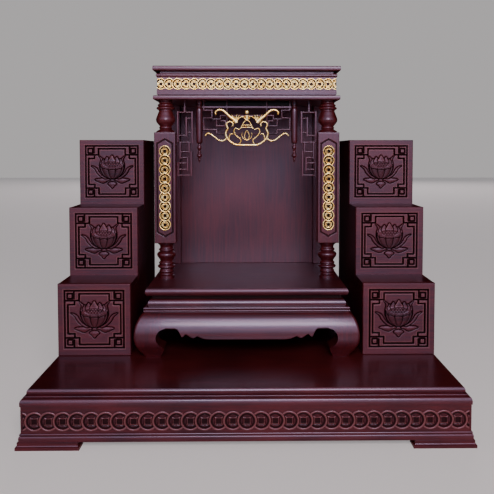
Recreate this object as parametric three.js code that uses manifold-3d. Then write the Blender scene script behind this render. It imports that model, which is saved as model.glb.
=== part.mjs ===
// Household altar cabinet: a low platform with a chain of coins carved along its rail, a block of
// three stepped shelves with lotus panels at each side, and between them a kneeling-foot table
// that carries a shrine of two turned columns, a back panel and a canopy.
// Millimetres, +Z up, front towards -Y, origin at the middle of the underside.
import * as THREE from 'three';
import { mergeVertices } from 'three/addons/utils/BufferGeometryUtils.js';
import Module from 'manifold-3d';

const wasm = await Module();
wasm.setup();

// ------------------------------------------------------------------ driving dimensions
const FLUSH_BACK = 305;        // rear plane of the platform
const MITRE_GAP = 0.15;        // each mitred end stops this short of the mitre line

const PLATFORM = { halfWidth: 388, front: -288, top: 103, board: 11, feet: 13, wall: 22.5 };
const PLATFORM_FRIEZE = { offset: 8.5, centre: 49, chainEnd: 390 };
const PLATFORM_COIN = { radius: 17.2, pitch: 24.8, rise: 1.8, hole: 4.6, pairs: 15, sides: 8 };
const FOOT = { length: 112, depth: 96, inset: 14, split: 6.5 };

const STEP = { size: 148, outer: 386, fronts: [-85, 17, 120], back: 300, board: 12, panel: 14 };
const LEVELS = ['bottom', 'middle', 'top'];

const TABLE = { halfWidth: 207, front: -93, back: 275, top: 242, apronTop: 194, board: 14 };
const LEG = { joint: 165, arch: 164 };

const COLUMN = { x: 177.5, y: 37, half: 23, squareBottom: 321, squareTop: 562, sides: 10 };
const COLUMN_COIN = { radius: 13.9, pitch: 19.9, rise: 1.2, hole: 3.8, pairs: 4, sides: 8 };
const REAR_POST = { inner: 164, outer: 200, front: 226, back: 262 };
const BACK_PANEL = { front: 238, back: 248 };

const CANOPY = { halfWidth: 201.5, front: 6, back: 275, bottom: 632, top: 704, wall: 12 };
const CANOPY_LOWER = 9;
const CANOPY_UPPER = 10;
const CANOPY_FRIEZE = { offset: -7.5, centre: 666, middle: -5, chainEnd: 192 };
const CANOPY_COIN = { radius: 13, pitch: 18, rise: 1.4, hole: 3.6, pairs: 10, sides: 8 };

const GRILLE = { front: 46, back: 54, bar: 4.5 };
const ORNAMENT = { front: 40, back: 46 };
const HANGING_POST = { x: 105, y: 50, radius: 6, sides: 6 };

// ------------------------------------------------------------------ materials
const lacquer = new THREE.MeshStandardMaterial({ color: 0x4a2024, roughness: 0.38, metalness: 0 });
const panelLacquer = new THREE.MeshStandardMaterial({ color: 0x3a1a20, roughness: 0.45, metalness: 0 });
const gilding = new THREE.MeshStandardMaterial({ color: 0xd9a441, roughness: 0.35, metalness: 0.8 });

// ------------------------------------------------------------------ geometry helpers
const group = new THREE.Group();

// Positions alone, corners shared, triangles of no area dropped, and faces turned outwards.
function welded(geometry) {
  const bare = geometry.clone();
  bare.deleteAttribute('normal');
  bare.deleteAttribute('uv');
  const merged = mergeVertices(bare, 1e-3);
  const corners = [];
  for (let i = 0; i < merged.index.count; i += 3) {
    const [a, b, c] = [0, 1, 2].map((k) => merged.index.getX(i + k));
    if (a !== b && b !== c && c !== a) corners.push([a, b, c]);
  }
  const point = (i) => new THREE.Vector3().fromBufferAttribute(merged.attributes.position, i);
  const volume = corners.reduce((sum, [a, b, c]) => sum + point(a).dot(point(b).cross(point(c))), 0);
  const outward = volume < 0 ? corners.map(([a, b, c]) => [a, c, b]) : corners;
  merged.setIndex(outward.flat());
  return merged;
}

function solid(geometry) {
  const mesh = welded(geometry);
  return new wasm.Manifold(new wasm.Mesh({
    numProp: 3,
    vertProperties: new Float32Array(mesh.attributes.position.array),
    triVerts: new Uint32Array(mesh.index.array),
  }));
}

function geometryOf(manifold) {
  const mesh = manifold.getMesh();
  const geometry = new THREE.BufferGeometry();
  geometry.setAttribute('position', new THREE.BufferAttribute(mesh.vertProperties, 3));
  geometry.setIndex(new THREE.BufferAttribute(mesh.triVerts, 1));
  return geometry;
}

function joined(solids) {
  return solids.reduce((whole, next) => whole.add(next));
}

function add(name, shape, material) {
  const source = shape.getMesh ? geometryOf(shape) : welded(shape);
  const geometry = source.toNonIndexed();
  geometry.computeVertexNormals();
  const mesh = new THREE.Mesh(geometry, material);
  mesh.name = name;
  group.add(mesh);
}

// The place of every corner of a geometry, worked out anew by a function of its coordinates.
function placed(geometry, place) {
  const positions = geometry.attributes.position;
  for (let i = 0; i < positions.count; i += 1) {
    positions.setXYZ(i, ...place(positions.getX(i), positions.getY(i), positions.getZ(i)));
  }
  return geometry;
}

function box(x0, x1, y0, y1, z0, z1) {
  return new THREE.BoxGeometry(x1 - x0, y1 - y0, z1 - z0)
    .translate((x0 + x1) / 2, (y0 + y1) / 2, (z0 + z1) / 2);
}

function shapeOf(outline) {
  return new THREE.Shape(outline.map(([a, b]) => new THREE.Vector2(a, b)));
}

// An outline carried along x, y or z; its two coordinates are the other two axes, in order.
function prism(outline, axis, from, to, hole = null) {
  const shape = shapeOf(outline);
  if (hole) shape.holes.push(shapeOf(hole));
  const geometry = new THREE.ExtrudeGeometry(shape, { depth: 1, bevelEnabled: false });
  return placed(geometry, (a, b, t) => {
    const c = from + (to - from) * t;
    return { x: [c, a, b], y: [a, c, b], z: [a, b, c] }[axis];
  });
}

// A profile of [radius, height] turned about an upright axis at (x, y).
function turned(profile, sides, x, y) {
  const points = profile.map(([r, z]) => new THREE.Vector2(r, z));
  return new THREE.LatheGeometry(points, sides, Math.PI / sides).rotateX(Math.PI / 2).translate(x, y, 0);
}

function mirrorOutline(half) {
  return [...half, ...half.filter(([x]) => x !== 0).map(([x, z]) => [-x, z]).reverse()];
}

function circle(cx, cz, rx, rz, sides) {
  return Array.from({ length: sides }, (_, i) => {
    const angle = (2 * Math.PI * (i + 0.5)) / sides;
    return [cx + rx * Math.cos(angle), cz + rz * Math.sin(angle)];
  });
}

function rectangle(x0, x1, z0, z1) {
  return [[x0, z0], [x1, z0], [x1, z1], [x0, z1]];
}

// A board whose front and side edges follow a profile of [offset, height]; its back is flat.
function mouldedBoard({ halfWidth, front, back }, profile) {
  const first = profile[0][1];
  const last = profile[profile.length - 1][1];
  const frontView = mirrorOutline(profile.map(([offset, z]) => [halfWidth + offset, z]));
  const sideView = [...profile.map(([offset, z]) => [front - offset, z]), [back, last], [back, first]];
  const reach = halfWidth + 50;
  const across = solid(prism(sideView, 'x', -reach, reach));
  return across.intersect(solid(prism(frontView, 'y', front - 50, back)));
}

// Rails mitred at the two front corners; the side rails are cut square at the back.
function frontRail({ halfWidth, front }, profile) {
  const geometry = new THREE.ExtrudeGeometry(shapeOf(profile), { depth: 2, bevelEnabled: false });
  return placed(geometry, (offset, z, t) => [(t - 1) * (halfWidth + offset - MITRE_GAP), front - offset, z]);
}

function sideRail({ halfWidth, front, back }, profile, side) {
  const geometry = new THREE.ExtrudeGeometry(shapeOf(profile), { depth: 1, bevelEnabled: false });
  return placed(geometry, (offset, z, t) => {
    const start = front - offset + MITRE_GAP;
    return [side * (halfWidth + offset), start + (back - start) * t, z];
  });
}

// A strip of even width along a path in the X-Z plane, with mitred bends.
function ribbon(path, width, y0, y1) {
  const edge = (side) => path.map(([x, z], i) => {
    const before = path[Math.max(i - 1, 0)];
    const after = path[Math.min(i + 1, path.length - 1)];
    const inward = new THREE.Vector2(x - before[0], z - before[1]).normalize();
    const outward = new THREE.Vector2(after[0] - x, after[1] - z).normalize();
    const along = inward.clone().add(outward).normalize();
    const straight = Math.max(along.dot(i === 0 ? outward : inward), 0.5);
    const half = (side * width) / 2 / straight;
    return [x - along.y * half, z + along.x * half];
  });
  return solid(prism([...edge(1), ...edge(-1).reverse()], 'y', y0, y1));
}

// Straight bars along a path of level and upright runs, square at every corner and end.
function bars(path, width, y0, y1) {
  const h = width / 2;
  return joined(path.slice(1).map(([x1, z1], i) => {
    const [x0, z0] = path[i];
    return solid(box(Math.min(x0, x1) - h, Math.max(x0, x1) + h, y0, y1,
      Math.min(z0, z1) - h, Math.max(z0, z1) + h));
  }));
}

function bothSides(make) {
  return [1, -1].flatMap((side) => make(side));
}

function flipped(path, side) {
  return path.map(([x, z]) => [side * x, z]);
}

// ------------------------------------------------------------------ chains of cash coins
// The middle coin lies on top and level. Each further coin leans, so that its inner edge slips
// under its neighbour and its outer edge stands up, as roof shingles do.
function coinChain(coin, place, middle = 0, limit = Infinity) {
  const hole = rectangle(-coin.hole, coin.hole, -coin.hole, coin.hole);
  const lean = (coin.rise * 0.7) / coin.pitch;
  const sunk = 1.5;
  const chain = [];
  const count = coin.pairs + (limit < Infinity ? 1 : 0);
  for (let k = -count; k <= count; k += 1) {
    const side = Math.sign(k);
    const centre = middle + k * coin.pitch;
    if (Math.abs(centre) > limit + coin.radius / 2) continue;
    const outline = circle(0, 0, coin.radius, coin.radius, coin.sides)
      .map(([u, v]) => [THREE.MathUtils.clamp(u, -limit - centre, limit - centre), v]);
    const disc = new THREE.ExtrudeGeometry(shapeOf(outline), { depth: 1, bevelEnabled: false });
    const height = (u) => (k === 0 ? coin.rise : coin.rise * 0.72 + lean * side * u);
    const lid = solid(placed(disc, (u, v, t) => place(centre + u, v, t ? height(u) : -sunk)));
    const well = new THREE.ExtrudeGeometry(shapeOf(hole), { depth: 1, bevelEnabled: false });
    const bore = solid(placed(well, (u, v, t) => place(centre + u, v, t ? 9 : 0)));
    chain.push({ lid, bore, order: Math.abs(k), whole: Math.abs(k) <= coin.pairs });
  }
  const ordered = chain.sort((a, b) => b.order - a.order);
  const union = joined(ordered.map((c) => c.lid));
  return ordered.filter((c) => c.whole).reduce((body, c) => body.subtract(c.bore), union);
}

// ------------------------------------------------------------------ platform
const railTop = PLATFORM.top - PLATFORM.board;
const frieze = PLATFORM_FRIEZE.offset;
const railInside = frieze - PLATFORM.wall;
const railProfile = [
  [railInside, PLATFORM.feet], [12, PLATFORM.feet], [12, 15.5], [10.2, 19], [10.2, 22], [frieze, 22.5],
  [frieze, 75], [9.9, 75.5], [9.9, 82.5], [8, 86], [4.2, 89], [3, 89.5], [3, railTop], [railInside, railTop],
];
const platformPlan = { halfWidth: PLATFORM.halfWidth, front: PLATFORM.front, back: FLUSH_BACK };

add('platform_top', mouldedBoard(platformPlan, [
  [-3.5, railTop], [-1, railTop + 2], [0, railTop + 5.5], [-1, railTop + 9], [-3.5, PLATFORM.top],
]), lacquer);

const friezeFace = PLATFORM.front - frieze;
const platformCoins = coinChain(PLATFORM_COIN,
  (u, v, h) => [u, friezeFace - h, PLATFORM_FRIEZE.centre + v], 0, PLATFORM_FRIEZE.chainEnd);
add('platform_front_rail', solid(frontRail(platformPlan, railProfile)).add(platformCoins), lacquer);
add('platform_left_rail', sideRail(platformPlan, railProfile, -1), lacquer);
add('platform_right_rail', sideRail(platformPlan, railProfile, 1), lacquer);
const railInner = PLATFORM.halfWidth + railInside;
add('platform_back_rail', box(-railInner, railInner, FLUSH_BACK - PLATFORM.wall, FLUSH_BACK,
  PLATFORM.feet, railTop), lacquer);

// A bracket foot is L-shaped in plan; its lower step stands further out than its upper one.
function bracketFoot(side, end) {
  const steps = [
    { out: 17, length: FOOT.length, from: 0, to: FOOT.split },
    { out: 14, length: FOOT.length - 7, from: FOOT.split, to: PLATFORM.feet },
  ];
  return joined(steps.map(({ out, length, from, to }) => {
    const x = PLATFORM.halfWidth + out;
    const y = end < 0 ? -PLATFORM.front + out : FLUSH_BACK;
    const depth = length - FOOT.length + FOOT.depth;
    const inner = out + FOOT.inset;
    const plan = [[x, y], [x - length, y], [x - length, y - inner], [x - inner, y - inner],
      [x - inner, y - depth], [x, y - depth]];
    return solid(prism(plan.map(([px, py]) => [side * px, end * py]), 'z', from, to));
  }));
}
for (const [sideName, side] of [['left', -1], ['right', 1]]) {
  for (const [endName, end] of [['front', -1], ['back', 1]]) {
    add(`platform_foot_${endName}_${sideName}`, bracketFoot(side, end), lacquer);
  }
}

// ------------------------------------------------------------------ stepped side blocks
// The carving of a step panel, in millimetres from the middle of its face.
const FIELD = { half: 59, low: -57, high: 60.5, groove: 2, band: 6.5 };
const FRET = { longX: 28, shortX: 20, shortZ: 21, longZ: 31 };
const LOTUS = [
  { depth: 2.2, outline: mirrorOutline([[0, -17], [14, -13], [24, -3], [28, 10], [29, 22], [27, 34],
    [21, 29], [14, 36], [7, 36], [0, 42]]) },
  { depth: 3, outline: circle(0, 19, 25, 10, 8) },
  { depth: 2.7, outline: mirrorOutline([[0, -15], [10, -12], [19, -4], [22, 8], [12, 12], [0, 8]]) },
  { depth: 1.6, outline: mirrorOutline([[0, -24], [16, -19], [28, -10], [36, 0], [45, 10.5], [31, 5],
    [22, -8], [0, -18]]) },
  { depth: 1.2, outline: mirrorOutline([[0, -18], [28, -14], [39, -20.5], [20, -27], [10, -22], [0, -22]]) },
  { depth: 1.2, outline: [[0, -18], [8.7, -28.6], [0, -39], [-8.7, -28.6]] },
];

// The inner edge of the frame steps around a fret at each corner.
function steppedField() {
  const { half, low, high, groove, band } = FIELD;
  const edge = groove + band;
  const corner = (sx, z, sz) => [
    [edge, FRET.longZ], [FRET.shortX, FRET.longZ], [FRET.shortX, FRET.shortZ],
    [FRET.longX, FRET.shortZ], [FRET.longX, edge],
  ].map(([a, b]) => [sx * (half - a), z + sz * b]);
  return [
    ...corner(-1, low, 1), ...corner(1, low, 1).reverse(),
    ...corner(1, high, -1), ...corner(-1, high, -1).reverse(),
  ];
}

// The upper panels reach down behind the tread in front of them, so below is that hidden strip.
function stepPanel(x0, front, z0, below) {
  const { half, low, high, groove } = FIELD;
  const fieldDepth = 3;
  const grooveDepth = 2;
  const move = (outline) => outline.map(([a, b]) => [x0 + STEP.size / 2 + a, z0 + STEP.size / 2 + b]);
  const slab = solid(box(x0, x0 + STEP.size, front, front + STEP.panel, z0 - below, z0 + STEP.size));
  const ring = solid(prism(move(rectangle(-half, half, low, high)), 'y', front - 1, front + grooveDepth,
    move(rectangle(-half + groove, half - groove, low + groove, high - groove))));
  const field = solid(prism(move(steppedField()), 'y', front - 1, front + fieldDepth));
  const flower = joined(LOTUS.map(({ depth, outline }) => solid(
    prism(move(outline), 'y', front + fieldDepth - depth, front + fieldDepth + 1))));
  return slab.subtract(ring).subtract(field).add(flower);
}

function stepBlock(sideName, side) {
  const { size, outer, fronts, back, board, panel } = STEP;
  const inner = outer - size;
  const x0 = side < 0 ? -outer : inner;
  const floor = PLATFORM.top;
  const rear = back - board;
  const profile = [[fronts[0] + panel, floor], [rear, floor], [rear, floor + 3 * size - board]];
  for (const level of [2, 1, 0]) {
    const treadUnder = floor + (level + 1) * size - board;
    const behind = fronts[level] + panel;
    if (level < 2) profile.push([fronts[level + 1] + panel, treadUnder]);
    profile.push([behind, treadUnder]);
  }
  const sideBoard = (a, b) => prism(profile, 'x', a, b);
  add(`steps_${sideName}_outer_side`, sideBoard(side * outer, side * (outer - board)), lacquer);
  add(`steps_${sideName}_inner_side`, sideBoard(side * (inner + board), side * inner), lacquer);
  add(`steps_${sideName}_back`, box(x0, x0 + size, rear, back, floor, floor + 3 * size - board), lacquer);
  LEVELS.forEach((level, i) => {
    const front = fronts[i];
    const top = floor + (i + 1) * size;
    const treadBack = i < 2 ? fronts[i + 1] : back;
    const below = i > 0 ? board : 0;
    add(`steps_${sideName}_panel_${level}`, stepPanel(x0, front, top - size, below), lacquer);
    add(`steps_${sideName}_tread_${level}`,
      box(x0, x0 + size, front + panel, treadBack, top - board, top), lacquer);
  });
}
stepBlock('left', -1);
stepBlock('right', 1);

// ------------------------------------------------------------------ kneeling-foot table
const tableUnder = TABLE.top - TABLE.board;
const tablePlan = { halfWidth: TABLE.halfWidth, front: TABLE.front, back: TABLE.back };
add('table_top', mouldedBoard(tablePlan, [
  [-6, tableUnder], [-1.5, tableUnder + 3], [0, tableUnder + 7], [-1.5, tableUnder + 11], [-5, TABLE.top],
]), lacquer);

const waistInner = -26;
const waistProfile = [
  [waistInner, TABLE.apronTop], [1.5, TABLE.apronTop], [1.5, 195.3], [3, 196], [3, 198.2], [0.6, 199],
  [2, 200], [2, 204], [-6, 205], [-6, 206.5], [-4.5, 207.2], [-5.8, 213], [-9.5, 219], [-13, 219.5],
  [-13, tableUnder], [waistInner, tableUnder],
];
const waistBack = TABLE.back - 20;
add('table_waist_front', frontRail(tablePlan, waistProfile), lacquer);
add('table_waist_left', sideRail(tablePlan, waistProfile, -1), lacquer);
add('table_waist_right', sideRail(tablePlan, waistProfile, 1), lacquer);
const waistReach = TABLE.halfWidth + waistInner;
add('table_waist_back', box(-waistReach, waistReach, waistBack, TABLE.back, TABLE.apronTop, tableUnder),
  lacquer);

// How far the apron and legs swell out past the table's edge line, by height.
const swell = [
  [3, TABLE.apronTop], [10.5, 186.5], [15.5, 177], [19.4, 164], [21, 150], [20, 138], [16.8, 127],
  [9.5, 115], [1.8, PLATFORM.top],
];
// Half of the apron's lower edge from the middle to the leg: two pointed lobes, then the arch.
const apronEdge = [
  [0, 143.5], [82, 143.5], [92, 148], [101, 148.5], [108.5, 145.5], [117, 150], [123, 152], [130.5, 148.5],
  [136, 156], [144.5, LEG.arch], [LEG.joint, LEG.arch],
];
const apronThickness = 18;
const depthScale = (LEG.joint - 48) / LEG.joint;

// A bar that follows the swelling, cut to the shaped lower edge; along is its run from the middle.
function apron(edge, middle, face, axis, side) {
  const upper = swell.filter(([, z]) => z > 130);
  const section = [
    ...upper.map(([offset, z]) => [face(offset), z]),
    ...upper.map(([offset, z]) => [face(offset - apronThickness), z]).reverse(),
  ];
  const half = edge[edge.length - 1][0];
  const bar = solid(prism(section, axis, middle - half, middle + half));
  const lower = mirrorOutline(edge).map(([a, z]) => [middle + a, z]);
  const cheek = [[middle + half, 120], [middle - half, 120]];
  const below = [...lower.slice(0, edge.length), cheek[0], cheek[1], ...lower.slice(edge.length)];
  const reach = side === 0 ? [TABLE.front - 40, TABLE.front + 40] : [face(60), face(-60)];
  return bar.subtract(solid(prism(below, axis === 'x' ? 'y' : 'x', ...reach)));
}

add('table_apron_front', apron(apronEdge, 0, (offset) => TABLE.front - offset, 'x', 0), lacquer);
const sideMiddle = (TABLE.front + TABLE.back) / 2;
const sideEdge = apronEdge.map(([a, z]) => [a * depthScale, z]);
for (const [sideName, side] of [['left', -1], ['right', 1]]) {
  const face = (offset) => side * (TABLE.halfWidth + offset);
  add(`table_apron_${sideName}`, apron(sideEdge, sideMiddle, face, 'y', side), lacquer);
}
add('table_apron_back', box(-LEG.joint, LEG.joint, TABLE.back - apronThickness, TABLE.back, LEG.arch,
  TABLE.apronTop), lacquer);

// One leg seen from the front, by its distance inwards from the table's edge line: it bellies
// out, narrows above the foot and curls inwards at the toe.
const legOutline = [
  ...swell.map(([offset, z]) => [offset, z]),
  [-31, PLATFORM.top], [-38, 116], [-38.5, 123], [-29.5, 131], [-24, 138], [-24, 150], [-28.5, 158],
  [-36, LEG.arch], [-42, LEG.arch], [-42, TABLE.apronTop],
];
const backLegOutline = [
  [0, PLATFORM.top], [0, TABLE.apronTop], ...legOutline.slice(swell.length).reverse(),
];
for (const [sideName, side] of [['left', -1], ['right', 1]]) {
  const frontView = legOutline.map(([offset, z]) => [side * (TABLE.halfWidth + offset), z]);
  const across = solid(prism(frontView, 'y', TABLE.front - 60, TABLE.back));
  const frontLeg = legOutline.map(([offset, z]) => [TABLE.front - offset, z]);
  const backLeg = backLegOutline.map(([offset, z]) => [TABLE.back + offset, z]);
  const slice = (outline) => across.intersect(solid(prism(outline, 'x', -TABLE.halfWidth - 60,
    TABLE.halfWidth + 60)));
  add(`table_leg_front_${sideName}`, slice(frontLeg), lacquer);
  add(`table_leg_back_${sideName}`, slice(backLeg), lacquer);
}

// ------------------------------------------------------------------ columns, posts and back panel
const topTurning = [
  [0, 0], [14, 0], [15, 5], [17.5, 9], [19.5, 15], [19.5, 20], [14.2, 22], [13.8, 27], [20.6, 40],
  [20.2, 45], [12.6, 56], [14.5, 60], [21.6, 70], [0, 70],
].map(([r, drop]) => [r, CANOPY.bottom - drop]);
const bottomTurning = [
  [0, 0], [21, 0], [14.1, 9], [14.1, 12], [16.8, 16], [16.2, 20.8], [20.8, 27], [14, 40], [19.5, 50],
  [19.5, 56.4], [14.4, 58], [16.5, 70], [17.3, 79], [0, 79],
].map(([r, drop]) => [r, COLUMN.squareBottom - drop]);
const HEXAGON = { inset: 5, groove: 2.8, shoulder: 24.5, apex: 14, depth: 1.5 };

// The incised outline on a column's face: a tall panel that is pointed at both ends.
function hexagon(x, inset) {
  const half = COLUMN.half - HEXAGON.inset - inset;
  const { squareBottom: low, squareTop: high } = COLUMN;
  const { shoulder, apex } = HEXAGON;
  return [[x + half, low + shoulder], [x + half, high - shoulder], [x, high - apex - inset * 1.2],
    [x - half, high - shoulder], [x - half, low + shoulder], [x, low + apex + inset * 1.2]];
}

for (const [sideName, side] of [['left', -1], ['right', 1]]) {
  const x = side * COLUMN.x;
  const face = COLUMN.y - COLUMN.half;
  const middle = (COLUMN.squareBottom + COLUMN.squareTop) / 2;
  const shaft = solid(box(x - COLUMN.half, x + COLUMN.half, face, COLUMN.y + COLUMN.half,
    COLUMN.squareBottom, COLUMN.squareTop));
  const groove = solid(prism(hexagon(x, 0), 'y', face - 1, face + HEXAGON.depth,
    hexagon(x, HEXAGON.groove)));
  const coins = coinChain(COLUMN_COIN, (u, v, h) => [x + v, face - h, middle + u]);
  const turnings = [topTurning, bottomTurning].map((p) => solid(turned(p, COLUMN.sides, x, COLUMN.y)));
  add(`column_${sideName}`, joined([shaft.subtract(groove), coins, ...turnings]), lacquer);

  const { inner, outer, front, back } = REAR_POST;
  const xs = [side * inner, side * outer].sort((a, b) => a - b);
  add(`rear_post_${sideName}`, box(...xs, front, back, TABLE.top, CANOPY.bottom), lacquer);
}
add('back_panel', box(-REAR_POST.inner, REAR_POST.inner, BACK_PANEL.front, BACK_PANEL.back,
  TABLE.top, CANOPY.bottom), panelLacquer);

// ------------------------------------------------------------------ canopy
const canopyPlan = { halfWidth: CANOPY.halfWidth, front: CANOPY.front, back: CANOPY.back };
const canopyRailLow = CANOPY.bottom + CANOPY_LOWER;
const canopyRailHigh = CANOPY.top - CANOPY_UPPER;
add('canopy_lower_board', mouldedBoard(canopyPlan, [
  [-1, CANOPY.bottom], [0, CANOPY.bottom + 1], [0, canopyRailLow - 1], [-1, canopyRailLow],
]), lacquer);
add('canopy_top_board', mouldedBoard(canopyPlan, [
  [1, canopyRailHigh], [2, canopyRailHigh + 1.5], [2, CANOPY.top - 1.5], [1, CANOPY.top],
]), lacquer);

const canopyFace = CANOPY_FRIEZE.offset;
const canopyInside = canopyFace - CANOPY.wall;
const canopyProfile = [
  [canopyInside, canopyRailLow], [-10, canopyRailLow], [-10, 643], [-6.5, 643.5], [-6.5, 652.5],
  [canopyFace, 653], [canopyFace, 680.5], [-6, 681], [-5, 684.5], [-6, 688], [-11.5, 688.5],
  [-11.5, canopyRailHigh], [canopyInside, canopyRailHigh],
];
const canopyCoinFace = CANOPY.front - canopyFace;
const canopyCoins = coinChain(CANOPY_COIN,
  (u, v, h) => [u, canopyCoinFace - h, CANOPY_FRIEZE.centre + v], CANOPY_FRIEZE.middle,
  CANOPY_FRIEZE.chainEnd);
add('canopy_front_rail', solid(frontRail(canopyPlan, canopyProfile)).add(canopyCoins), lacquer);
add('canopy_left_rail', sideRail(canopyPlan, canopyProfile, -1), lacquer);
add('canopy_right_rail', sideRail(canopyPlan, canopyProfile, 1), lacquer);
const canopyInner = CANOPY.halfWidth + canopyInside;
add('canopy_back_rail', box(-canopyInner, canopyInner, CANOPY.back - CANOPY.wall, CANOPY.back,
  canopyRailLow, canopyRailHigh), lacquer);

// ------------------------------------------------------------------ valance, frets and ornament
const latticeRuns = [
  [[95, 611.5], [77, 611.5], [77, 594.5], [95, 594.5], [95, 569], [67, 569], [67, 560], [43, 560]],
  [[0, 600], [58, 600], [58, 592], [76, 592]],
  [[67, 592], [67, 577], [47.5, 577], [47.5, 588], [58, 588]],
  [[95, 620], [95, 611.5]],
  [[44, 620], [44, 560]],
  [[44, 577], [67, 577]],
  [[0, 560], [44, 560]],
  [[77, 594.5], [76, 592]],
];
const latticeRail = box(-98, 98, GRILLE.front, GRILLE.back, 617, CANOPY.bottom);
const latticeBars = bothSides((side) => latticeRuns.map((run) => bars(flipped(run, side), GRILLE.bar,
  GRILLE.front, GRILLE.back)));
add('valance_lattice', joined([solid(latticeRail), ...latticeBars]), lacquer);

// Fretwork against the inner face of each column.
const fretRuns = [
  [[152, 609], [152, 541]], [[135, 594], [135, 554]], [[122, 609], [122, 540]],
  [[149, 541], [149, 507]], [[129, 541], [129, 519]], [[124.5, 521], [124.5, 466]],
  [[132.5, 508], [132.5, 479]],
  [[152, 607], [122, 607]], [[135, 594], [122, 594]], [[135, 563], [122, 563]], [[152, 556], [135, 556]],
  [[152, 541], [122, 541]], [[149, 520], [124.5, 520]], [[149, 507], [132.5, 507]],
  [[152, 495], [132.5, 495]],
  [[152, 481], [132.5, 481]], [[152, 468], [124.5, 468]], [[152, 495], [152, 468]],
  [[137, 630], [137, 607]],
];
for (const [sideName, side] of [['left', -1], ['right', 1]]) {
  const fret = joined(fretRuns.map((run) => bars(flipped(run, side), GRILLE.bar, GRILLE.front,
    GRILLE.back)));
  const clear = side * (COLUMN.x - COLUMN.half);
  const columnSpace = box(...[clear, clear + side * 20].sort((a, b) => a - b), 0, 90, 400, 700);
  const overTop = box(-300, 300, 0, 90, CANOPY.bottom, 700);
  add(`side_fret_${sideName}`, fret.subtract(solid(columnSpace)).subtract(solid(overTop)), lacquer);

  const profile = [
    [0, CANOPY.bottom], [6.5, CANOPY.bottom], [6.5, 622], [4.8, 618], [HANGING_POST.radius, 608],
    [HANGING_POST.radius, 560], [4.6, 546], [6.5, 540], [2.6, 535], [4, 529], [2.4, 523], [3.5, 517.5],
    [2.4, 514], [5.5, 510], [2.6, 504], [0, 496],
  ];
  add(`hanging_post_${sideName}`,
    turned(profile, HANGING_POST.sides, side * HANGING_POST.x, HANGING_POST.y), lacquer);
}

// Gilded openwork over the lattice: an urn-shaped frame with whiskers, a crown and plain strokes.
const ornamentStrokes = [
  { width: 4.5, path: [[24, 577], [34, 587.5], [40, 581.5], [38.5, 571], [42, 561], [37, 545.5],
    [26, 537.5], [0, 535.5]] },
  { width: 3.5, path: [[4, 600], [15, 606], [32, 606], [24, 595], [21, 587], [24, 577]] },
  { width: 3.5, path: [[24, 596], [37, 598], [46, 607], [60, 614], [69, 606.5]] },
  { width: 3.5, path: [[40, 548.5], [56, 545], [70, 552], [83.5, 561], [89, 556.5]] },
  { width: 3.5, path: [[25, 559.5], [31, 561], [34.5, 554], [29.5, 542]] },
  { width: 3.5, path: [[0, 591], [8, 587.5], [14, 579.5], [24, 577]] },
  { width: 3, path: [[0, 580], [14, 579.5]] },
  { width: 3, path: [[0, 572.5], [24, 572]] },
  { width: 3.5, path: [[24, 577], [25, 559.5], [10.5, 551], [11.5, 537]] },
  { width: 3, path: [[0, 560], [10.5, 551]] },
];
const strokes = bothSides((side) => ornamentStrokes.map(({ width, path }) => ribbon(
  flipped(path, side), width, ORNAMENT.front, ORNAMENT.back)));
const fan = solid(prism([[-8, 606], [8, 606], [2.5, 590], [-2.5, 590]], 'y', ORNAMENT.front, ORNAMENT.back));
const bead = solid(prism(circle(0, 609.5, 4.5, 4.5, 8), 'y', ORNAMENT.front, ORNAMENT.back));
const post = solid(box(-1.8, 1.8, ORNAMENT.front, ORNAMENT.back, 535, 592));
add('valance_ornament', joined([fan, bead, post, ...strokes]), gilding);

export default group;
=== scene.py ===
# %% [markdown]
# # A household altar cabinet in lacquer and gold
# The real cabinet is joiner's work: a low platform, two blocks of stepped shelves with carved lotus
# panels, and a kneeling-foot table that carries a little shrine under a canopy. A frame of plain
# solids already gives every board its place and size. This lesson dresses that frame: each piece is
# made again as a smooth surface with its real mouldings and carving, and given its finish.

# %% Load the frame
import math

import bpy
import numpy as np
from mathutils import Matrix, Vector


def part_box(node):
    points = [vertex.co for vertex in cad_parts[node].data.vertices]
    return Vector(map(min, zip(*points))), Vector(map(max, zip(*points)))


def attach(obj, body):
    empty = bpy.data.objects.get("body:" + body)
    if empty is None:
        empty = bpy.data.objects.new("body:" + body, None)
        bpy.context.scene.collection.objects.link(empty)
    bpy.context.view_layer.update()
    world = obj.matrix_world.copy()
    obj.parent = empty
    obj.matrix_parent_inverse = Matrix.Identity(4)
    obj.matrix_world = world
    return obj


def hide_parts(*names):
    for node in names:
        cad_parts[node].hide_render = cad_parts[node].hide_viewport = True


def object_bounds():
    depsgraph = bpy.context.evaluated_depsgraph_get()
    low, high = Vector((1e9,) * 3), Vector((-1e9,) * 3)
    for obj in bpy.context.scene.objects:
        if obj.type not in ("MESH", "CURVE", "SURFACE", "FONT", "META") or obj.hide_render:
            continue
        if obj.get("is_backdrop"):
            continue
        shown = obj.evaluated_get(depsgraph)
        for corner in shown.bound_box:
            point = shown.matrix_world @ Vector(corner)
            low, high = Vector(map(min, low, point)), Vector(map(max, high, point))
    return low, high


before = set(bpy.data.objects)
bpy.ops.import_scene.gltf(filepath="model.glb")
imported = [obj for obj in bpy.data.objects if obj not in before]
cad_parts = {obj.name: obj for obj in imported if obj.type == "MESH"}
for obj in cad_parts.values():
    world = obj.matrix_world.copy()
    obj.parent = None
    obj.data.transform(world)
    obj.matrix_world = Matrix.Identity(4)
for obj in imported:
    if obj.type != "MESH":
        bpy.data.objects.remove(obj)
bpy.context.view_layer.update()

MM = 0.001
SIDES = {"left": -1, "right": 1}
ENDS = {"front": -1, "back": 1}
LEVELS = ("bottom", "middle", "top")
print("nodes in the frame:", len(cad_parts))

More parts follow.
